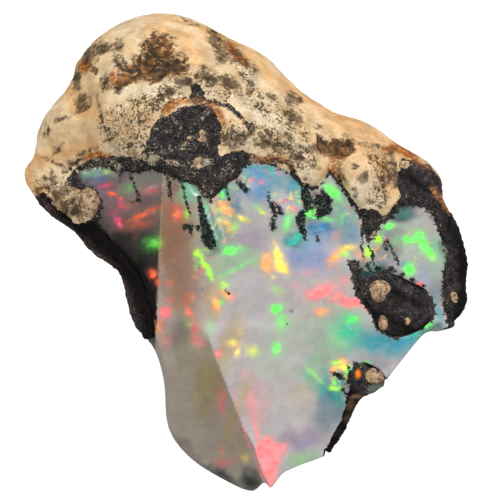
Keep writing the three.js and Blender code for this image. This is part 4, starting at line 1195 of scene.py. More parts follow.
for name, patches in FLASH_PATCHES.items():
    strength = np.zeros(len(flash_uv))
    for across, down, long, broad, turn, glow in patches:
        inside = patch_depth(flash_uv, (across, down, long, broad, turn)) / (min(long, broad) * MAP_SQUARE)
        strength = np.maximum(strength, glow * flash_shape(inside))
    for glow, streak in FLASH_STREAKS.get(name, []):
        widest = max(point[2] for point in streak) * MAP_SQUARE
        strength = np.maximum(strength, glow * flash_shape(stroke_depth(flash_uv, streak) / widest))
    for glow, outline in FLASH_OUTLINES.get(name, []):
        strength = np.maximum(strength, glow * flash_shape(outline_depth(flash_uv, outline) / OUTLINE_EDGE))
    store(opal_net, "flash_" + name, strength)
print("flashes:", sum(len(patches) for patches in FLASH_PATCHES.values()))

# %% [markdown]
# Near the upper edge the flashes break up into pinfire: a mosaic of tiny coloured flecks. A single
# strength is enough for it, because the material makes the flecks themselves.

# %% Pinfire
PINFIRE_PATCHES = [
    (216, 212, 26, 26, 0, 0.6), (240, 182, 22, 14, 0, 0.8), (300, 204, 34, 20, -25, 0.75),
    (278, 168, 34, 9, -10, 0.8), (232, 231, 18, 12, 0, 0.4), (346, 210, 14, 30, 25, 0.5),
    (384, 250, 20, 22, 0, 0.55), (346, 262, 16, 14, 0, 0.5), (342, 374, 16, 16, 0, 0.8),
    (112, 205, 18, 26, 10, 0.22), (150, 214, 20, 12, 20, 0.22), (96, 171, 26, 6, 0, 0.5), (205, 265, 16, 16, 0, 0.5),
    (180, 215, 10, 14, 0, 0.3), (245, 348, 20, 10, 0, 0.35), (190, 325, 8, 20, 20, 0.3),
    (262, 262, 22, 20, 0, 0.22), (330, 300, 34, 16, 0, 0.35), (230, 292, 14, 14, 0, 0.45),
    (415, 245, 26, 26, 0, 0.35), (268, 450, 20, 30, 0, 0.3), (222, 455, 10, 14, 0, 0.3),
]
pinfire = np.full(len(opal_uv), 0.12)
for across, down, long, broad, turn, glow in PINFIRE_PATCHES:
    inside = patch_depth(flash_uv, (across, down, long, broad, turn)) / (min(long, broad) * MAP_SQUARE)
    pinfire = np.maximum(pinfire, glow * smooth_step((inside + 0.3) / 1.0))
store(opal_net, "pinfire", pinfire * np.where(front, 1, 0.3))
print("pinfire strongest:", round(float(pinfire.max()), 2))

# %% [markdown]
# ## Needles and specks in the opal
# Thin dark threads of the crust's mineral grew down into the opal from its upper edge, along with
# small black clots. They are drawn as strokes, like the crust.

# %% Needles
NEEDLES = [
    [(199, 197, 1.4), (201, 208, 2.6), (204, 220, 4.2), (207, 231, 6.0), (209.5, 239, 7.0), (211, 243, 6.0)],
    [(166, 174, 1.4), (169, 183, 2.0), (170, 192, 2.0), (172, 200, 0.8)],
    [(180, 178, 1.2), (184, 190, 1.6), (188, 205, 1.2), (190, 214, 0.6)],
    [(131, 176, 1.2), (136, 188, 1.2), (139, 197, 1.5), (142, 203, 0.9)],
    [(133, 202, 1.4), (140, 201, 1.5)],
    [(120, 172, 0.8), (122, 181, 0.8)],
    [(186, 227, 3.6), (190, 226, 2.6), (191, 234, 1.0)],
    [(197, 228, 2.2), (201, 226, 1.6)],
    [(269, 190, 0.6), (269, 200, 1.4), (273, 206, 3.2), (275, 216, 2.2)],
    [(277, 204, 1.6), (281, 213, 2.4)],
    [(273, 220, 2.2), (273, 228, 2.8)],
    [(303, 212, 3.0), (300, 218, 5.0), (301, 226, 4.0), (304, 234, 2.6), (305, 240, 1.4)],
    [(304, 187, 3.0), (306, 197, 5.4), (307, 207, 3.6)],
    [(315, 203, 3.6), (321, 200, 6.2), (324, 209, 7.8), (319, 215, 4.4)],
    [(322, 191, 2.6), (327, 202, 5.0)],
    [(312, 209, 1.6), (306, 207, 1.8)],
    [(333, 373, 2.4), (338, 375, 2.6), (343, 379, 1.6)],
    [(346, 366, 1.0), (350, 371, 2.0), (348, 381, 2.2)],
    [(342, 388, 1.0), (346, 394, 1.8)],
    [(317, 237, 1.0), (319, 243, 1.2)],
    [(386, 240, 0.9), (392, 251, 1.5), (399, 264, 1.4)],
    [(384, 244, 1.6), (386, 249, 1.2)],
    [(238, 183, 2.2), (242, 187, 3.4), (246, 191, 2.4)],
    [(226, 186, 1.6), (229, 200, 1.2)],
    [(210, 198, 1.6), (212, 205, 0.6)],
    [(376, 268, 2.0), (384, 270, 1.6)],
    [(388, 273, 1.6), (391, 268, 2.2), (395, 271, 1.4)],
    [(398, 279, 1.8), (402, 274, 2.2)],
    [(408, 283, 1.6), (412, 279, 2.2), (416, 281, 1.2)],
    [(420, 289, 1.6), (424, 285, 2.0)],
    [(370, 271, 1.6), (366, 265, 1.6), (371, 262, 1.0)],
    [(291, 309, 0.7), (291, 311, 0.7)],
    [(287, 321, 0.6), (287, 323, 0.7)],
    [(225, 290, 0.5), (229, 294, 0.5)],
]
needle_uv = opal_uv + 0.07 * drift
needle_depth = deepest(needle_uv, strokes=NEEDLES)
crust_uv = opal_uv + 0.18 * drift


def teeth(line, every, reach, half, side):
    """Short spikes beside a line of the map, one every so many squares; side 1 is its left."""
    feet = closer(np.array(line, float), every)
    way = np.gradient(feet, axis=0)
    way /= np.linalg.norm(way, axis=1)[:, None]
    spikes = []
    for i, (foot, (right, down)) in enumerate(zip(feet, way)):
        long = reach * (0.5 + 0.5 * math.sin(2.3 * i))
        tip = foot + side * long * np.array([down, -right])
        spikes.append([(*foot, half), (*tip, 0.4 * half)])
    return spikes


opal_crust = deepest(crust_uv, CRUST_ON_OPAL, CRUST_STROKES.values())
opal_crust = np.maximum(opal_crust, outline_depth(opal_uv, CRUST_OUTLINES["island"]) + 0.1)
island_ring = CRUST_OUTLINES["island"] + CRUST_OUTLINES["island"][:1]
spikes = teeth(island_ring, 3.2, 3.6, 1.2, 1) + teeth(CONTACT_LINE, 3.6, 3.2, 1.2, -1)
opal_crust = np.maximum(opal_crust, deepest(opal_uv + 0.06 * drift, strokes=spikes))
opal_crust = np.maximum(opal_crust, 0.04 - outline_depth(crust_uv, OPAL_WINDOW))
near_crossing = deepest(opal_uv, [CRUST_OUTLINES["island"], CRUST_OUTLINES["spur"]]) > -0.5
near_crossing |= (opal_uv[:, 0] > 15.3) & (opal_uv[:, 1] > -6.3)
opal_crust = np.where(near_crossing & ~front, 0.5, opal_crust)
store(opal_net, "needle", np.where(front, needle_depth, -1))
store(opal_net, "crust", np.where(front | near_crossing, opal_crust, -1))
# Painted shade on the opal's own patches of crust, from the same strokes.
store(opal_net, "painted_shade", smooth_step(deepest(crust_uv, strokes=PAINTED_SHADE_STROKES) / 0.8 + 0.5))
print("needles:", len(NEEDLES))

# %% [markdown]
# In a few places the opal runs on as a thin film over the crust, or a flash lights up on it. The rock
# gets a colour and a strength for these, laid over its crust.

# %% Film and sparks on the crust
CRUST_SPARKS = [
    ("pearl grey", 384, 379, 4, 10, 15, 0.9), ("film", 374, 386, 9, 4.0, 15, 0.95), ("cocoa", 355, 395, 5, 2.4, 10, 0.7),
    ("umber", 350, 404, 4, 7, -15, 0.7), ("umber", 347, 418, 4, 5, -25, 0.6),
    ("fire", 357.5, 374, 2.8, 4.0, 0, 1.0), ("green", 361, 366, 3.4, 1.4, -20, 0.8),
    ("green", 349, 370, 1.8, 3.0, 0, 0.8), ("yellow", 344, 366, 3.4, 2.0, 0, 0.9),
    ("deep lagoon", 366, 274, 8, 4, 0, 0.6), ("ember", 418, 285, 3.0, 2.2, 0, 0.8),
    ("sage", 424, 327, 5, 2.4, 30, 0.5), ("dark teal", 336, 430, 4, 9, 25, 0.5),
]
spark_tints = np.zeros((len(rock_uv), 3))
sparks = np.zeros(len(rock_uv))
spark_uv = rock_uv + 0.06 * ragged
for name, across, down, long, broad, turn, strength in CRUST_SPARKS:
    inside = patch_depth(spark_uv, (across, down, long, broad, turn)) / (min(long, broad) * MAP_SQUARE)
    amount = strength * smooth_step((inside + 0.35) / 0.9) * on_front
    spark_tint = MILK[name] if name in MILK else tint(*FLASH_TINTS[name])
    spark_tints[amount > sparks] = spark_tint
    sparks = np.maximum(sparks, amount)
store(rock_net, "spark", sparks)
store_tint(rock_net, "spark_tint", spark_tints)
print("film and sparks:", len(CRUST_SPARKS))

# %% [markdown]
# ## A workbench for materials
# A material is a tree of nodes. These few helpers place a node, set its sockets and wire it, so
# that each finish below reads as a short list of steps. A finish that several materials share is a
# node group, built once, with its own named inputs and outputs.

# %% Node helpers
SOCKETS = {"value": "NodeSocketFloat", "colour": "NodeSocketColor", "place": "NodeSocketVector"}


class Bench:
    """Adds nodes to one tree and wires them."""

    def __init__(self, tree):
        self.tree = tree

    def add(self, kind, feeds=(), **settings):
        node = self.tree.nodes.new("ShaderNode" + kind)
        for name, value in settings.items():
            setattr(node, name, value)
        for socket, value in dict(feeds).items():
            self.feed(node.inputs[socket], value)
        return node

    def feed(self, socket, value):
        if isinstance(value, bpy.types.NodeSocket):
            self.tree.links.new(value, socket)
        else:
            socket.default_value = value

    def sum(self, operation, first, second=0.0):
        return self.add("Math", {0: first, 1: second}, operation=operation).outputs[0]

    def blend(self, share, first, second, kind="MIX"):
        node = self.add("Mix", {0: share, 6: first, 7: second}, data_type="RGBA", blend_type=kind)
        return node.outputs[2]

    def step(self, value, low, high, bottom=0.0, top=1.0):
        feeds = {0: value, 1: low, 2: high, 3: bottom, 4: top}
        return self.add("MapRange", feeds, interpolation_type="SMOOTHSTEP").outputs[0]

    def noise(self, place, scale, detail=3.0, rough=0.55):
        feeds = {"Vector": place, "Scale": scale, "Detail": detail, "Roughness": rough}
        return self.add("TexNoise", feeds).outputs[0]

    def cells(self, place, scale, part="Distance"):
        return self.add("TexVoronoi", {"Vector": place, "Scale": scale}).outputs[part]

    def attribute(self, name, part="Fac"):
        return self.add("Attribute", attribute_name=name).outputs[part]


def new_group(title, inputs, outputs):
    """A node group with named sockets. Inputs are (name, kind, value), outputs (name, kind)."""
    tree = bpy.data.node_groups.new(title, "ShaderNodeTree")
    for name, kind, value in inputs:
        socket = tree.interface.new_socket(name, in_out="INPUT", socket_type=SOCKETS[kind])
        if value is not None:
            socket.default_value = value
    for name, kind in outputs:
        tree.interface.new_socket(name, in_out="OUTPUT", socket_type=SOCKETS[kind])
    bench = Bench(tree)
    given = tree.nodes.new("NodeGroupInput").outputs
    made = tree.nodes.new("NodeGroupOutput").inputs
    return tree, bench, given, made


def use(bench, group, **feeds):
    """Places a group in a tree, with its inputs by name, and returns its outputs."""
    node = bench.tree.nodes.new("ShaderNodeGroup")
    node.node_tree = group
    for name, value in feeds.items():
        bench.feed(node.inputs[name.replace("_", " ").capitalize()], value)
    return node.outputs


def rgba(red, green, blue):
    return (*tint(red, green, blue).tolist(), 1.0)


# %% [markdown]
# ### Ragged edges
# A marking stored as a depth has a soft, even edge. Adding fine noise to the depth before cutting it
# at zero gives the broken, sandy edge of a real mineral crust, at any size wanted.

# %% Group: ragged edge
ragged_edge, b, given, made = new_group(
    "Ragged edge",
    [("Depth", "value", 0.0), ("Place", "place", None), ("Grain", "value", 4.0),
     ("Raggedness", "value", 0.2), ("Softness", "value", 0.05)],
    [("Mask", "value")],
)
rough = b.sum("SUBTRACT", b.noise(given["Place"], given["Grain"], 4.0, 0.65), 0.5)
rough = b.sum("MULTIPLY", rough, b.sum("MULTIPLY", given["Raggedness"], 4.0))
edge = b.sum("ADD", given["Depth"], rough)
lower = b.sum("MULTIPLY", given["Softness"], -1.0)
b.feed(made["Mask"], b.step(edge, lower, given["Softness"]))

# %% [markdown]
# ### The granular crust
# Under a lens the crust is black sand with brown and grey grains and a few pale ones. Small random
# cells make the grains: each takes its own shade, and only the palest of them turn cream.

# %% Group: granular crust
granular_crust, b, given, made = new_group(
    "Granular crust",
    [("Place", "place", None), ("Dark", "colour", rgba(20, 18, 20)),
     ("Warm", "colour", rgba(58, 53, 53)), ("Pale", "colour", rgba(186, 172, 146)),
     ("Paleness", "value", 0.3), ("Soot", "value", 0.0)],
    [("Colour", "colour"), ("Height", "value")],
)
shade = b.cells(given["Place"], 8.0, "Color")
cloud = b.noise(given["Place"], 1.1, 4.0, 0.6)
fleck = b.noise(given["Place"], 6.5, 4.0, 0.75)
strands = b.noise(given["Place"], 2.4, 5.0, 0.7)
ground = b.blend(b.step(cloud, 0.38, 0.66, 0.0, 0.6), given["Dark"], given["Warm"])
ground = b.blend(b.step(strands, 0.5, 0.64, 0.0, 0.75), ground, rgba(84, 78, 78))
ground = b.blend(b.step(strands, 0.3, 0.46, 0.7, 0.0), ground, rgba(14, 12, 13))
ground = b.blend(b.step(shade, 0.1, 0.9, 0.0, 0.45), ground, given["Warm"])
ground = b.blend(b.step(fleck, 0.5, 0.66, 0.0, 0.5), ground, rgba(98, 92, 90))
lots = b.sum("ADD", fleck, b.sum("MULTIPLY", b.sum("SUBTRACT", cloud, 0.5), 0.7))
lots = b.sum("ADD", lots, b.sum("MULTIPLY", given["Paleness"], 0.19))
# The last input paints shade: it takes away the pale grains and darkens the crust towards black.
lots = b.sum("SUBTRACT", lots, b.sum("MULTIPLY", given["Soot"], 0.3))
pale_mask = b.step(lots, 0.64, 0.72)
ground = b.blend(b.sum("MULTIPLY", given["Soot"], 0.88), ground, rgba(7, 6, 5))
b.feed(made["Colour"], b.blend(b.sum("MULTIPLY", pale_mask, 0.9), ground, given["Pale"]))
b.feed(made["Height"], b.sum("ADD", b.cells(given["Place"], 6.5), b.sum("MULTIPLY", fleck, 0.8)))

# %% [markdown]
# ### The weathered rind
# The rind is a pale clay-like rock. Its colour drifts slowly between cream and sand, turns orange where
# iron has soaked in, and carries fine dark specks that crowd together in some places.

# %% Group: weathered rind
weathered_rind, b, given, made = new_group(
    "Weathered rind",
    [("Place", "place", None), ("Cream", "value", 0.0), ("Orange", "value", 0.0),
     ("Speckled", "value", 0.0), ("Smudge", "value", 0.0)],
    [("Colour", "colour"), ("Height", "value")],
)
slow = b.noise(given["Place"], 0.33, 3.0, 0.5)
blotch = b.noise(given["Place"], 0.75, 5.0, 0.6)
middling = b.noise(given["Place"], 1.1, 4.0, 0.6)
grit = b.noise(given["Place"], 2.6, 4.0, 0.62)
fine = b.noise(given["Place"], 4.6, 4.0, 0.7)
colour = b.blend(b.step(slow, 0.35, 0.65), rgba(230, 207, 172), rgba(219, 188, 144))
colour = b.blend(b.sum("MULTIPLY", given["Cream"], 0.7), colour, rgba(226, 210, 184))
iron = b.sum("MULTIPLY", given["Orange"], b.step(middling, 0.3, 0.6, 0.4, 0.8))
colour = b.blend(iron, colour, rgba(222, 168, 108))
uneven = b.blend(b.step(blotch, 0.32, 0.68), (0.74, 0.7, 0.64, 1), (1.1, 1.1, 1.1, 1))
colour = b.blend(1.0, colour, uneven, "MULTIPLY")
gritty = b.blend(b.step(grit, 0.35, 0.65), (0.82, 0.8, 0.76, 1), (1.08, 1.08, 1.08, 1))
colour = b.blend(b.step(given["Speckled"], 0.0, 0.9, 0.5, 1.0), colour, gritty, "MULTIPLY")
# The grey patches follow the last input: real smudges, and painted shade at the lower left.
grey_mask = b.sum("ADD", b.sum("MULTIPLY", middling, 0.35), b.sum("MULTIPLY", grit, 0.65))
grey_mask = b.step(b.sum("ADD", grey_mask, b.sum("MULTIPLY", given["Smudge"], 0.2)), 0.59, 0.67)
grey_mask = b.sum("MULTIPLY", grey_mask, b.step(given["Smudge"], 0.0, 0.8, 0.0, 0.8))
colour = b.blend(grey_mask, colour, rgba(98, 84, 68))
mealy = b.sum("MULTIPLY", b.step(fine, 0.48, 0.64), b.step(given["Speckled"], 0.0, 0.9, 0.12, 0.62))
colour = b.blend(mealy, colour, rgba(136, 112, 86))
specks = b.sum("ADD", fine, b.sum("MULTIPLY", given["Speckled"], 0.16))
specks = b.sum("ADD", specks, b.sum("MULTIPLY", b.sum("SUBTRACT", middling, 0.5), 0.6))
speck_mask = b.step(specks, 0.66, 0.75)
speck_mask = b.sum("MULTIPLY", speck_mask, b.step(given["Speckled"], 0.05, 0.7, 0.0, 0.92))
colour = b.blend(speck_mask, colour, rgba(60, 50, 42))
bent = b.add("TexNoise", {"Vector": given["Place"], "Scale": 0.9, "Detail": 4.0}).outputs["Color"]
bent = b.add("VectorMath", {0: given["Place"], 1: bent}, operation="ADD").outputs[0]
cells = b.add("TexVoronoi", {"Vector": bent, "Scale": 1.5}, feature="DISTANCE_TO_EDGE").outputs[0]
cracks = b.sum("MULTIPLY", b.step(cells, 0.01, 0.08, 1.0, 0.0), b.step(grit, 0.46, 0.6))
cracks = b.sum("MULTIPLY", cracks, b.step(given["Speckled"], 0.0, 0.8, 0.15, 0.85))
colour = b.blend(cracks, colour, rgba(82, 66, 50))
b.feed(made["Colour"], colour)
speck_mask = b.sum("MAXIMUM", speck_mask, cracks)
dips = b.sum("MULTIPLY", speck_mask, -0.5)
roughened = b.sum("MULTIPLY", fine, b.step(given["Speckled"], 0.0, 0.9, 0.15, 1.2))
b.feed(made["Height"], b.sum("ADD", b.sum("ADD", roughened, b.sum("MULTIPLY", grit, 0.5)), dips))

# %% [markdown]
# ## The rock material
# The layers go on in the order in which nature put them: the rind, then iron stains and brown
# hollows, then small dark pits, then the crust over all, with the pale knobs showing through it. A
# few dark patches at the lower left and the darkest crust along the rims are painted shade.

# %% Rock material
DEPTH_UNIT = 0.00012  # one unit of bump height, in metres


def new_material(name):
    material = bpy.data.materials.new(name)
    material.use_nodes = True
    material.node_tree.nodes.clear()
    bench = Bench(material.node_tree)
    shader = bench.add("BsdfPrincipled")
    output = bench.add("OutputMaterial")
    bench.feed(output.inputs["Surface"], shader.outputs[0])
    coordinates = bench.add("TexCoord")
    place = bench.add("VectorMath", {0: coordinates.outputs["Object"]}, operation="SCALE")
    place.inputs["Scale"].default_value = 1 / MM
    return material, bench, shader, place.outputs[0]


rock_finish, b, shader, place = new_material("Weathered rock")
rind = use(
    b, weathered_rind, place=place, cream=b.attribute("cream"), orange=b.attribute("orange"),
    speckled=b.attribute("speckled"), smudge=b.attribute("smudge"),
)
# The crust gets its painted shade from the same strokes.
crust = use(
    b, granular_crust, place=place, paleness=b.attribute("pale_crust"), soot=b.attribute("painted_shade"),
)
colour = rind["Colour"]

rust_mask = b.sum("MULTIPLY", b.attribute("rust"), b.step(b.noise(place, 2.2), 0.38, 0.6))
brown_mask = use(
    b, ragged_edge, depth=b.attribute("brown"), place=place, grain=2.4, raggedness=0.42, softness=0.2,
)["Mask"]
spot_mask = use(
    b, ragged_edge, depth=b.attribute("spot"), place=place, grain=2.4, raggedness=0.2, softness=0.14,
)["Mask"]
brown_tint = b.blend(b.step(b.noise(place, 1.7, 4.0), 0.47, 0.59), rgba(32, 24, 19), rgba(110, 70, 38))
brown_tint = b.blend(b.step(b.noise(place, 2.6, 4.0), 0.54, 0.66), brown_tint, rgba(176, 132, 86))
colour = b.blend(b.sum("MULTIPLY", brown_mask, 0.94), colour, brown_tint)
rust_tint = b.blend(b.step(b.noise(place, 2.4), 0.4, 0.6), rgba(84, 54, 34), rgba(152, 98, 56))
colour = b.blend(b.sum("MULTIPLY", rust_mask, 0.85), colour, rust_tint)
gold_mask = b.sum("MULTIPLY", b.attribute("gold"), b.step(b.noise(place, 3.0, 4.0), 0.31, 0.46))
gold_tint = b.blend(b.step(b.noise(place, 2.6, 4.0), 0.48, 0.64), rgba(134, 76, 34), rgba(208, 128, 56))
colour = b.blend(b.sum("MULTIPLY", gold_mask, 0.95), colour, gold_tint)
spot_tint = b.blend(b.step(b.noise(place, 2.2), 0.42, 0.62), rgba(46, 40, 34), rgba(98, 76, 50))
spot_mask = b.sum("MULTIPLY", spot_mask, b.step(b.noise(place, 1.6, 4.0), 0.32, 0.58, 0.3, 0.92))
colour = b.blend(spot_mask, colour, spot_tint)
crust_mask = use(
    b, ragged_edge, depth=b.attribute("crust"), place=place, grain=3.4, raggedness=0.16, softness=0.04,
)["Mask"]
rusty_crust = b.blend(b.sum("MULTIPLY", rust_mask, 0.6), crust["Colour"], rust_tint)
worn_gold = b.blend(b.step(b.noise(place, 3.6, 4.0), 0.44, 0.6), rgba(104, 66, 40), rgba(192, 134, 84))
rusty_crust = b.blend(b.sum("MULTIPLY", gold_mask, 0.85), rusty_crust, worn_gold)
colour = b.blend(crust_mask, colour, rusty_crust)
colour = b.blend(b.attribute("spark"), colour, b.attribute("spark_tint", "Color"))
knob_mask = use(
    b, ragged_edge, depth=b.attribute("knob"), place=place, grain=4.0, raggedness=0.06, softness=0.04,
)["Mask"]
knob_tint = b.blend(b.step(b.noise(place, 2.6, 4.0), 0.35, 0.65), rgba(200, 170, 136), rgba(140, 112, 86))
knob_tint = b.blend(b.step(b.noise(place, 4.5, 3.0), 0.52, 0.64), knob_tint, rgba(96, 76, 58))
colour = b.blend(knob_mask, colour, knob_tint)
b.feed(shader.inputs["Base Color"], colour)
b.feed(shader.inputs["Roughness"], b.step(b.noise(place, 2.0), 0.3, 0.7, 0.72, 0.92))
shader.inputs["Specular IOR Level"].default_value = 0.06

height = b.add("Mix", {0: crust_mask, 2: rind["Height"], 3: crust["Height"]}, data_type="FLOAT").outputs[0]
bump = b.add("Bump", {"Height": height, "Distance": DEPTH_UNIT, "Strength": 0.6})
b.feed(shader.inputs["Normal"], bump.outputs[0])
rock_net.materials.clear()
rock_net.materials.append(rock_finish)
print("rock material has", len(b.tree.nodes), "nodes")

# %% [markdown]
# ### One flash of colour
# A flash is not flat: it is streaked and mottled, brighter in its middle, and its edge breaks up. The
# group takes the colour and the glow so far, and returns both with one more flash laid over them.

# %% Group: flash
flash_group, b, given, made = new_group(
    "Flash",
    [("Under", "colour", (0, 0, 0, 1)), ("Glow", "colour", (0, 0, 0, 1)), ("Strength", "value", 0.0),
     ("Tint", "colour", (1, 1, 1, 1)), ("Place", "place", None)],
    [("Colour", "colour"), ("Glow", "colour")],
)
slanted = b.add("Mapping", {"Vector": given["Place"], "Rotation": (0, 0, 0.5), "Scale": (0.8, 1.5, 1.0)})
fine = b.sum("SUBTRACT", b.noise(slanted.outputs[0], 2.0, 3.0, 0.55), 0.5)
uneven = b.sum("ADD", b.sum("MULTIPLY", fine, 2.5), 0.98)
solid = b.sum("MULTIPLY", b.sum("POWER", given["Strength"], 3.0), 0.42)
mask = b.sum("ADD", b.sum("MULTIPLY", given["Strength"], uneven), solid)
mask = b.sum("MAXIMUM", b.sum("MINIMUM", mask, 1.0), 0.0)
pale = b.sum("MULTIPLY", b.step(b.noise(slanted.outputs[0], 1.6, 2.0, 0.5), 0.4, 0.7), 0.12)
b.feed(made["Colour"], b.blend(mask, given["Under"], b.blend(pale, given["Tint"], (1, 1, 1, 1))))
b.feed(made["Glow"], b.blend(b.sum("POWER", mask, 3.0), given["Glow"], given["Tint"]))

# %% [markdown]
# ### Pinfire
# The flecks are random cells pulled out of shape by noise. Each takes one of the opal's pure colours from
# a ramp, and only some of them light up: more of them where the strength is high.

# %% Group: pinfire
pinfire_group, b, given, made = new_group(
    "Pinfire",
    [("Under", "colour", (0, 0, 0, 1)), ("Glow", "colour", (0, 0, 0, 1)), ("Strength", "value", 0.0),
     ("Size", "value", 3.0), ("Place", "place", None)],
    [("Colour", "colour"), ("Glow", "colour")],
)
pull = b.add("TexNoise", {"Vector": given["Place"], "Scale": 1.3, "Detail": 4.0}).outputs["Color"]
pulled = b.add("VectorMath", {0: given["Place"], 1: pull}, operation="ADD").outputs[0]
cell_tint = b.cells(pulled, given["Size"], "Color")
parts = b.add("SeparateColor", {0: cell_tint}).outputs
ramp = b.add("ValToRGB", {0: parts[0]})
ramp.color_ramp.interpolation = "CONSTANT"
PINFIRE_RAMP = ("teal", "green", "blue", "orange", "magenta", "yellow", "teal", "lime")
for i, name in enumerate(PINFIRE_RAMP):
    stops = ramp.color_ramp.elements
    stop = stops[i] if i < len(stops) else stops.new(1.0)
    stop.position = i / len(PINFIRE_RAMP)
    stop.color = rgba(*FLASH_TINTS[name])
fine = b.sum("SUBTRACT", b.noise(given["Place"], 5.0, 4.0, 0.65), 0.5)
lit = b.sum("ADD", parts[1], b.sum("MULTIPLY", fine, 0.9))
lit = b.sum("ADD", lit, b.sum("MULTIPLY", given["Strength"], 0.42))
mask = b.sum("MULTIPLY", b.step(lit, 0.8, 1.4), b.step(given["Strength"], 0.0, 0.7))
b.feed(made["Colour"], b.blend(b.sum("MULTIPLY", mask, 0.6), given["Under"], ramp.outputs[0]))
b.feed(made["Glow"], b.blend(b.sum("MULTIPLY", mask, 0.2), given["Glow"], ramp.outputs[0]))

# %% [markdown]
# ## The opal material
# The body colour gets faint clouds, then the flashes, then the needles and the crust. The flashes also
# glow a little, because a flash is brighter than any paint lit by the same lamp. Some of the light
# passes below the surface, which gives the milkiness, and a clear coat gives the glassy polish.

# %% Opal material
opal_finish, b, shader, place = new_material("Precious opal")
clouds = b.noise(place, 0.9, 4.0, 0.55)
colour = b.attribute("body", "Color")
shade = b.blend(b.step(clouds, 0.3, 0.7), (0.8, 0.8, 0.8, 1), (1.3, 1.3, 1.3, 1))
colour = b.blend(0.3, colour, shade, "MULTIPLY")
shimmer = b.add("TexNoise", {"Vector": place, "Scale": 1.6, "Detail": 4.0}).outputs["Color"]
lively = b.step(b.attribute("pinfire"), 0.1, 0.8, 0.18, 0.85)
colour = b.blend(lively, colour, shimmer, "SOFT_LIGHT")
sparkle = b.add("Mapping", {"Vector": place, "Rotation": (0, 0, 0.6), "Scale": (0.6, 1.6, 1.0)}).outputs[0]
sparkle = b.add("TexNoise", {"Vector": sparkle, "Scale": 5.5, "Detail": 3.0, "Roughness": 0.7}).outputs["Color"]
sparkle = b.blend(1.0, sparkle, (1.5, 1.5, 1.5, 1), "MULTIPLY")
colour = b.blend(b.sum("MULTIPLY", lively, 0.6), colour, sparkle, "SOFT_LIGHT")
glow = b.add("RGB").outputs[0]
glow.default_value = (0, 0, 0, 1)
for size in (2.2, 4.6):
    flecks = use(
        b, pinfire_group, under=colour, glow=glow, strength=b.attribute("pinfire"), size=size, place=place,
    )
    colour, glow = flecks["Colour"], flecks["Glow"]
for name, steps in FLASH_TINTS.items():
    flash = use(
        b, flash_group, under=colour, glow=glow, strength=b.attribute("flash_" + name),
        tint=rgba(*steps), place=place,
    )
    colour, glow = flash["Colour"], flash["Glow"]
needle_mask = use(
    b, ragged_edge, depth=b.attribute("needle"), place=place, grain=4.5, raggedness=0.2, softness=0.08,
)["Mask"]
crust_mask = use(
    b, ragged_edge, depth=b.attribute("crust"), place=place, grain=3.4, raggedness=0.16, softness=0.03,
)["Mask"]
dark_mask = b.sum("MAXIMUM", needle_mask, crust_mask)
# Its crust is darkened as painted shade where the rock's is.
crust = use(b, granular_crust, place=place, paleness=0.1, soot=b.attribute("painted_shade"))
colour = b.blend(crust_mask, colour, crust["Colour"])
needle_tint = b.blend(b.step(b.noise(place, 5.0, 3.0), 0.5, 0.66), rgba(20, 24, 24), rgba(74, 84, 78))
colour = b.blend(needle_mask, colour, needle_tint)
glow = b.blend(dark_mask, glow, (0, 0, 0, 1))
b.feed(shader.inputs["Base Color"], colour)
b.feed(shader.inputs["Emission Color"], glow)
shader.inputs["Emission Strength"].default_value = 0.42
b.feed(shader.inputs["Roughness"], b.step(dark_mask, 0.0, 1.0, 0.42, 0.85))
shader.inputs["Specular IOR Level"].default_value = 0.18
b.feed(shader.inputs["Coat Weight"], b.step(dark_mask, 0.0, 1.0, 0.06, 0.0))
shader.inputs["Coat Roughness"].default_value = 0.12
shader.inputs["IOR"].default_value = 1.45
shader.inputs["Subsurface Weight"].default_value = 0.15
shader.inputs["Subsurface Radius"].default_value = (1.0, 0.9, 0.8)
shader.inputs["Subsurface Scale"].default_value = 0.0006
smooth_height = b.sum("MULTIPLY", b.noise(place, 1.2, 4.0, 0.5), 0.25)
height = b.add("Mix", {0: dark_mask, 2: smooth_height, 3: crust["Height"]}, data_type="FLOAT").outputs[0]
bump = b.add("Bump", {"Height": height, "Distance": DEPTH_UNIT, "Strength": 0.5})
b.feed(shader.inputs["Normal"], bump.outputs[0])
opal_net.materials.clear()
opal_net.materials.append(opal_finish)
print("opal material has", len(b.tree.nodes), "nodes")

# %% [markdown]
# ## Put both pieces in the frame
# So far the nets were in millimetres. They are scaled down to metres, shaded smoothly, and each one
# stands in for its solid.

# %% Hand over the pieces
for piece, node in ((rock, "host_rock"), (opal, "opal")):
    piece.data.transform(Matrix.Scale(MM, 4))
    piece.data.shade_smooth()
    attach(piece, "root")
    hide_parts(node)
    print(piece.name, "stands for", node)

# %% [markdown]
# ## Floor and light
# A light table: a floor that glows an even white, so that the stone stands on it without a shadow, a
# white surround, and one broad lamp high on the right that models the forms.

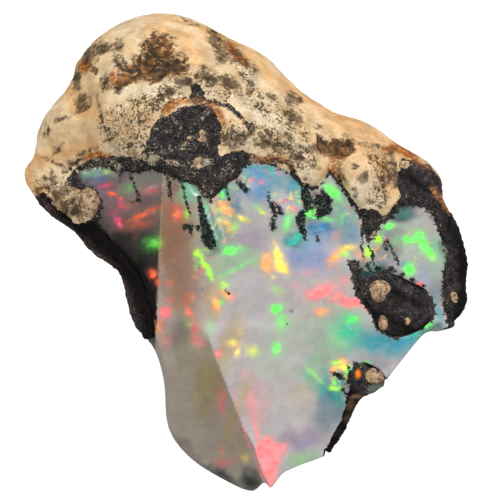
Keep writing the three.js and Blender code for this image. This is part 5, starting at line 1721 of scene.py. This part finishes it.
# %% Floor
floor_mesh = bpy.data.meshes.new("Table")
FLOOR_HALF = 3.0
floor_mesh.from_pydata(
    [(-FLOOR_HALF, -FLOOR_HALF, 0), (FLOOR_HALF, -FLOOR_HALF, 0), (FLOOR_HALF, FLOOR_HALF, 0),
     (-FLOOR_HALF, FLOOR_HALF, 0)],
    [], [(0, 1, 2, 3)],
)
floor = bpy.data.objects.new("Table", floor_mesh)
floor_finish, b, shader, place = new_material("Light table")
paper = b.noise(place, 0.02, 2.0)
white = b.blend(paper, (1.0, 1.0, 1.0, 1), (0.99, 0.99, 0.985, 1))
seen = b.add("LightPath").outputs["Is Camera Ray"]
b.feed(shader.inputs["Emission Color"], b.blend(seen, (0.35, 0.35, 0.35, 1), white))
shader.inputs["Emission Strength"].default_value = 1.0
shader.inputs["Base Color"].default_value = (0.1, 0.1, 0.1, 1)
shader.inputs["Roughness"].default_value = 1.0
shader.inputs["Specular IOR Level"].default_value = 0.0
floor_mesh.materials.append(floor_finish)
bpy.context.scene.collection.objects.link(floor)

# %% Light
world = bpy.data.worlds.new("Studio")
world.use_nodes = True
world.node_tree.nodes["Background"].inputs["Color"].default_value = (1, 1, 1, 1)
world.node_tree.nodes["Background"].inputs["Strength"].default_value = 0.8
bpy.context.scene.world = world


def soft_lamp(name, towards, away, size, watts):
    data = bpy.data.lights.new(name, "AREA")
    data.shape = "DISK"
    data.size = size
    data.energy = watts
    lamp = bpy.data.objects.new(name, data)
    way = Vector(towards).normalized()
    aim = Vector(FACE_MIDDLE * MM)
    lamp.location = aim + way * away
    lamp.rotation_euler = way.to_track_quat("Z", "Y").to_euler()
    bpy.context.scene.collection.objects.link(lamp)


soft_lamp("Key lamp", (0.5, 0.15, 0.9), 0.4, 0.2, 0.8)
soft_lamp("Sheen lamp", (-0.35, 0.6, 0.7), 0.4, 0.12, 0.25)
bpy.context.scene.view_settings.view_transform = "Standard"
bpy.context.scene.view_settings.look = "None"
print("lamps and floor are set")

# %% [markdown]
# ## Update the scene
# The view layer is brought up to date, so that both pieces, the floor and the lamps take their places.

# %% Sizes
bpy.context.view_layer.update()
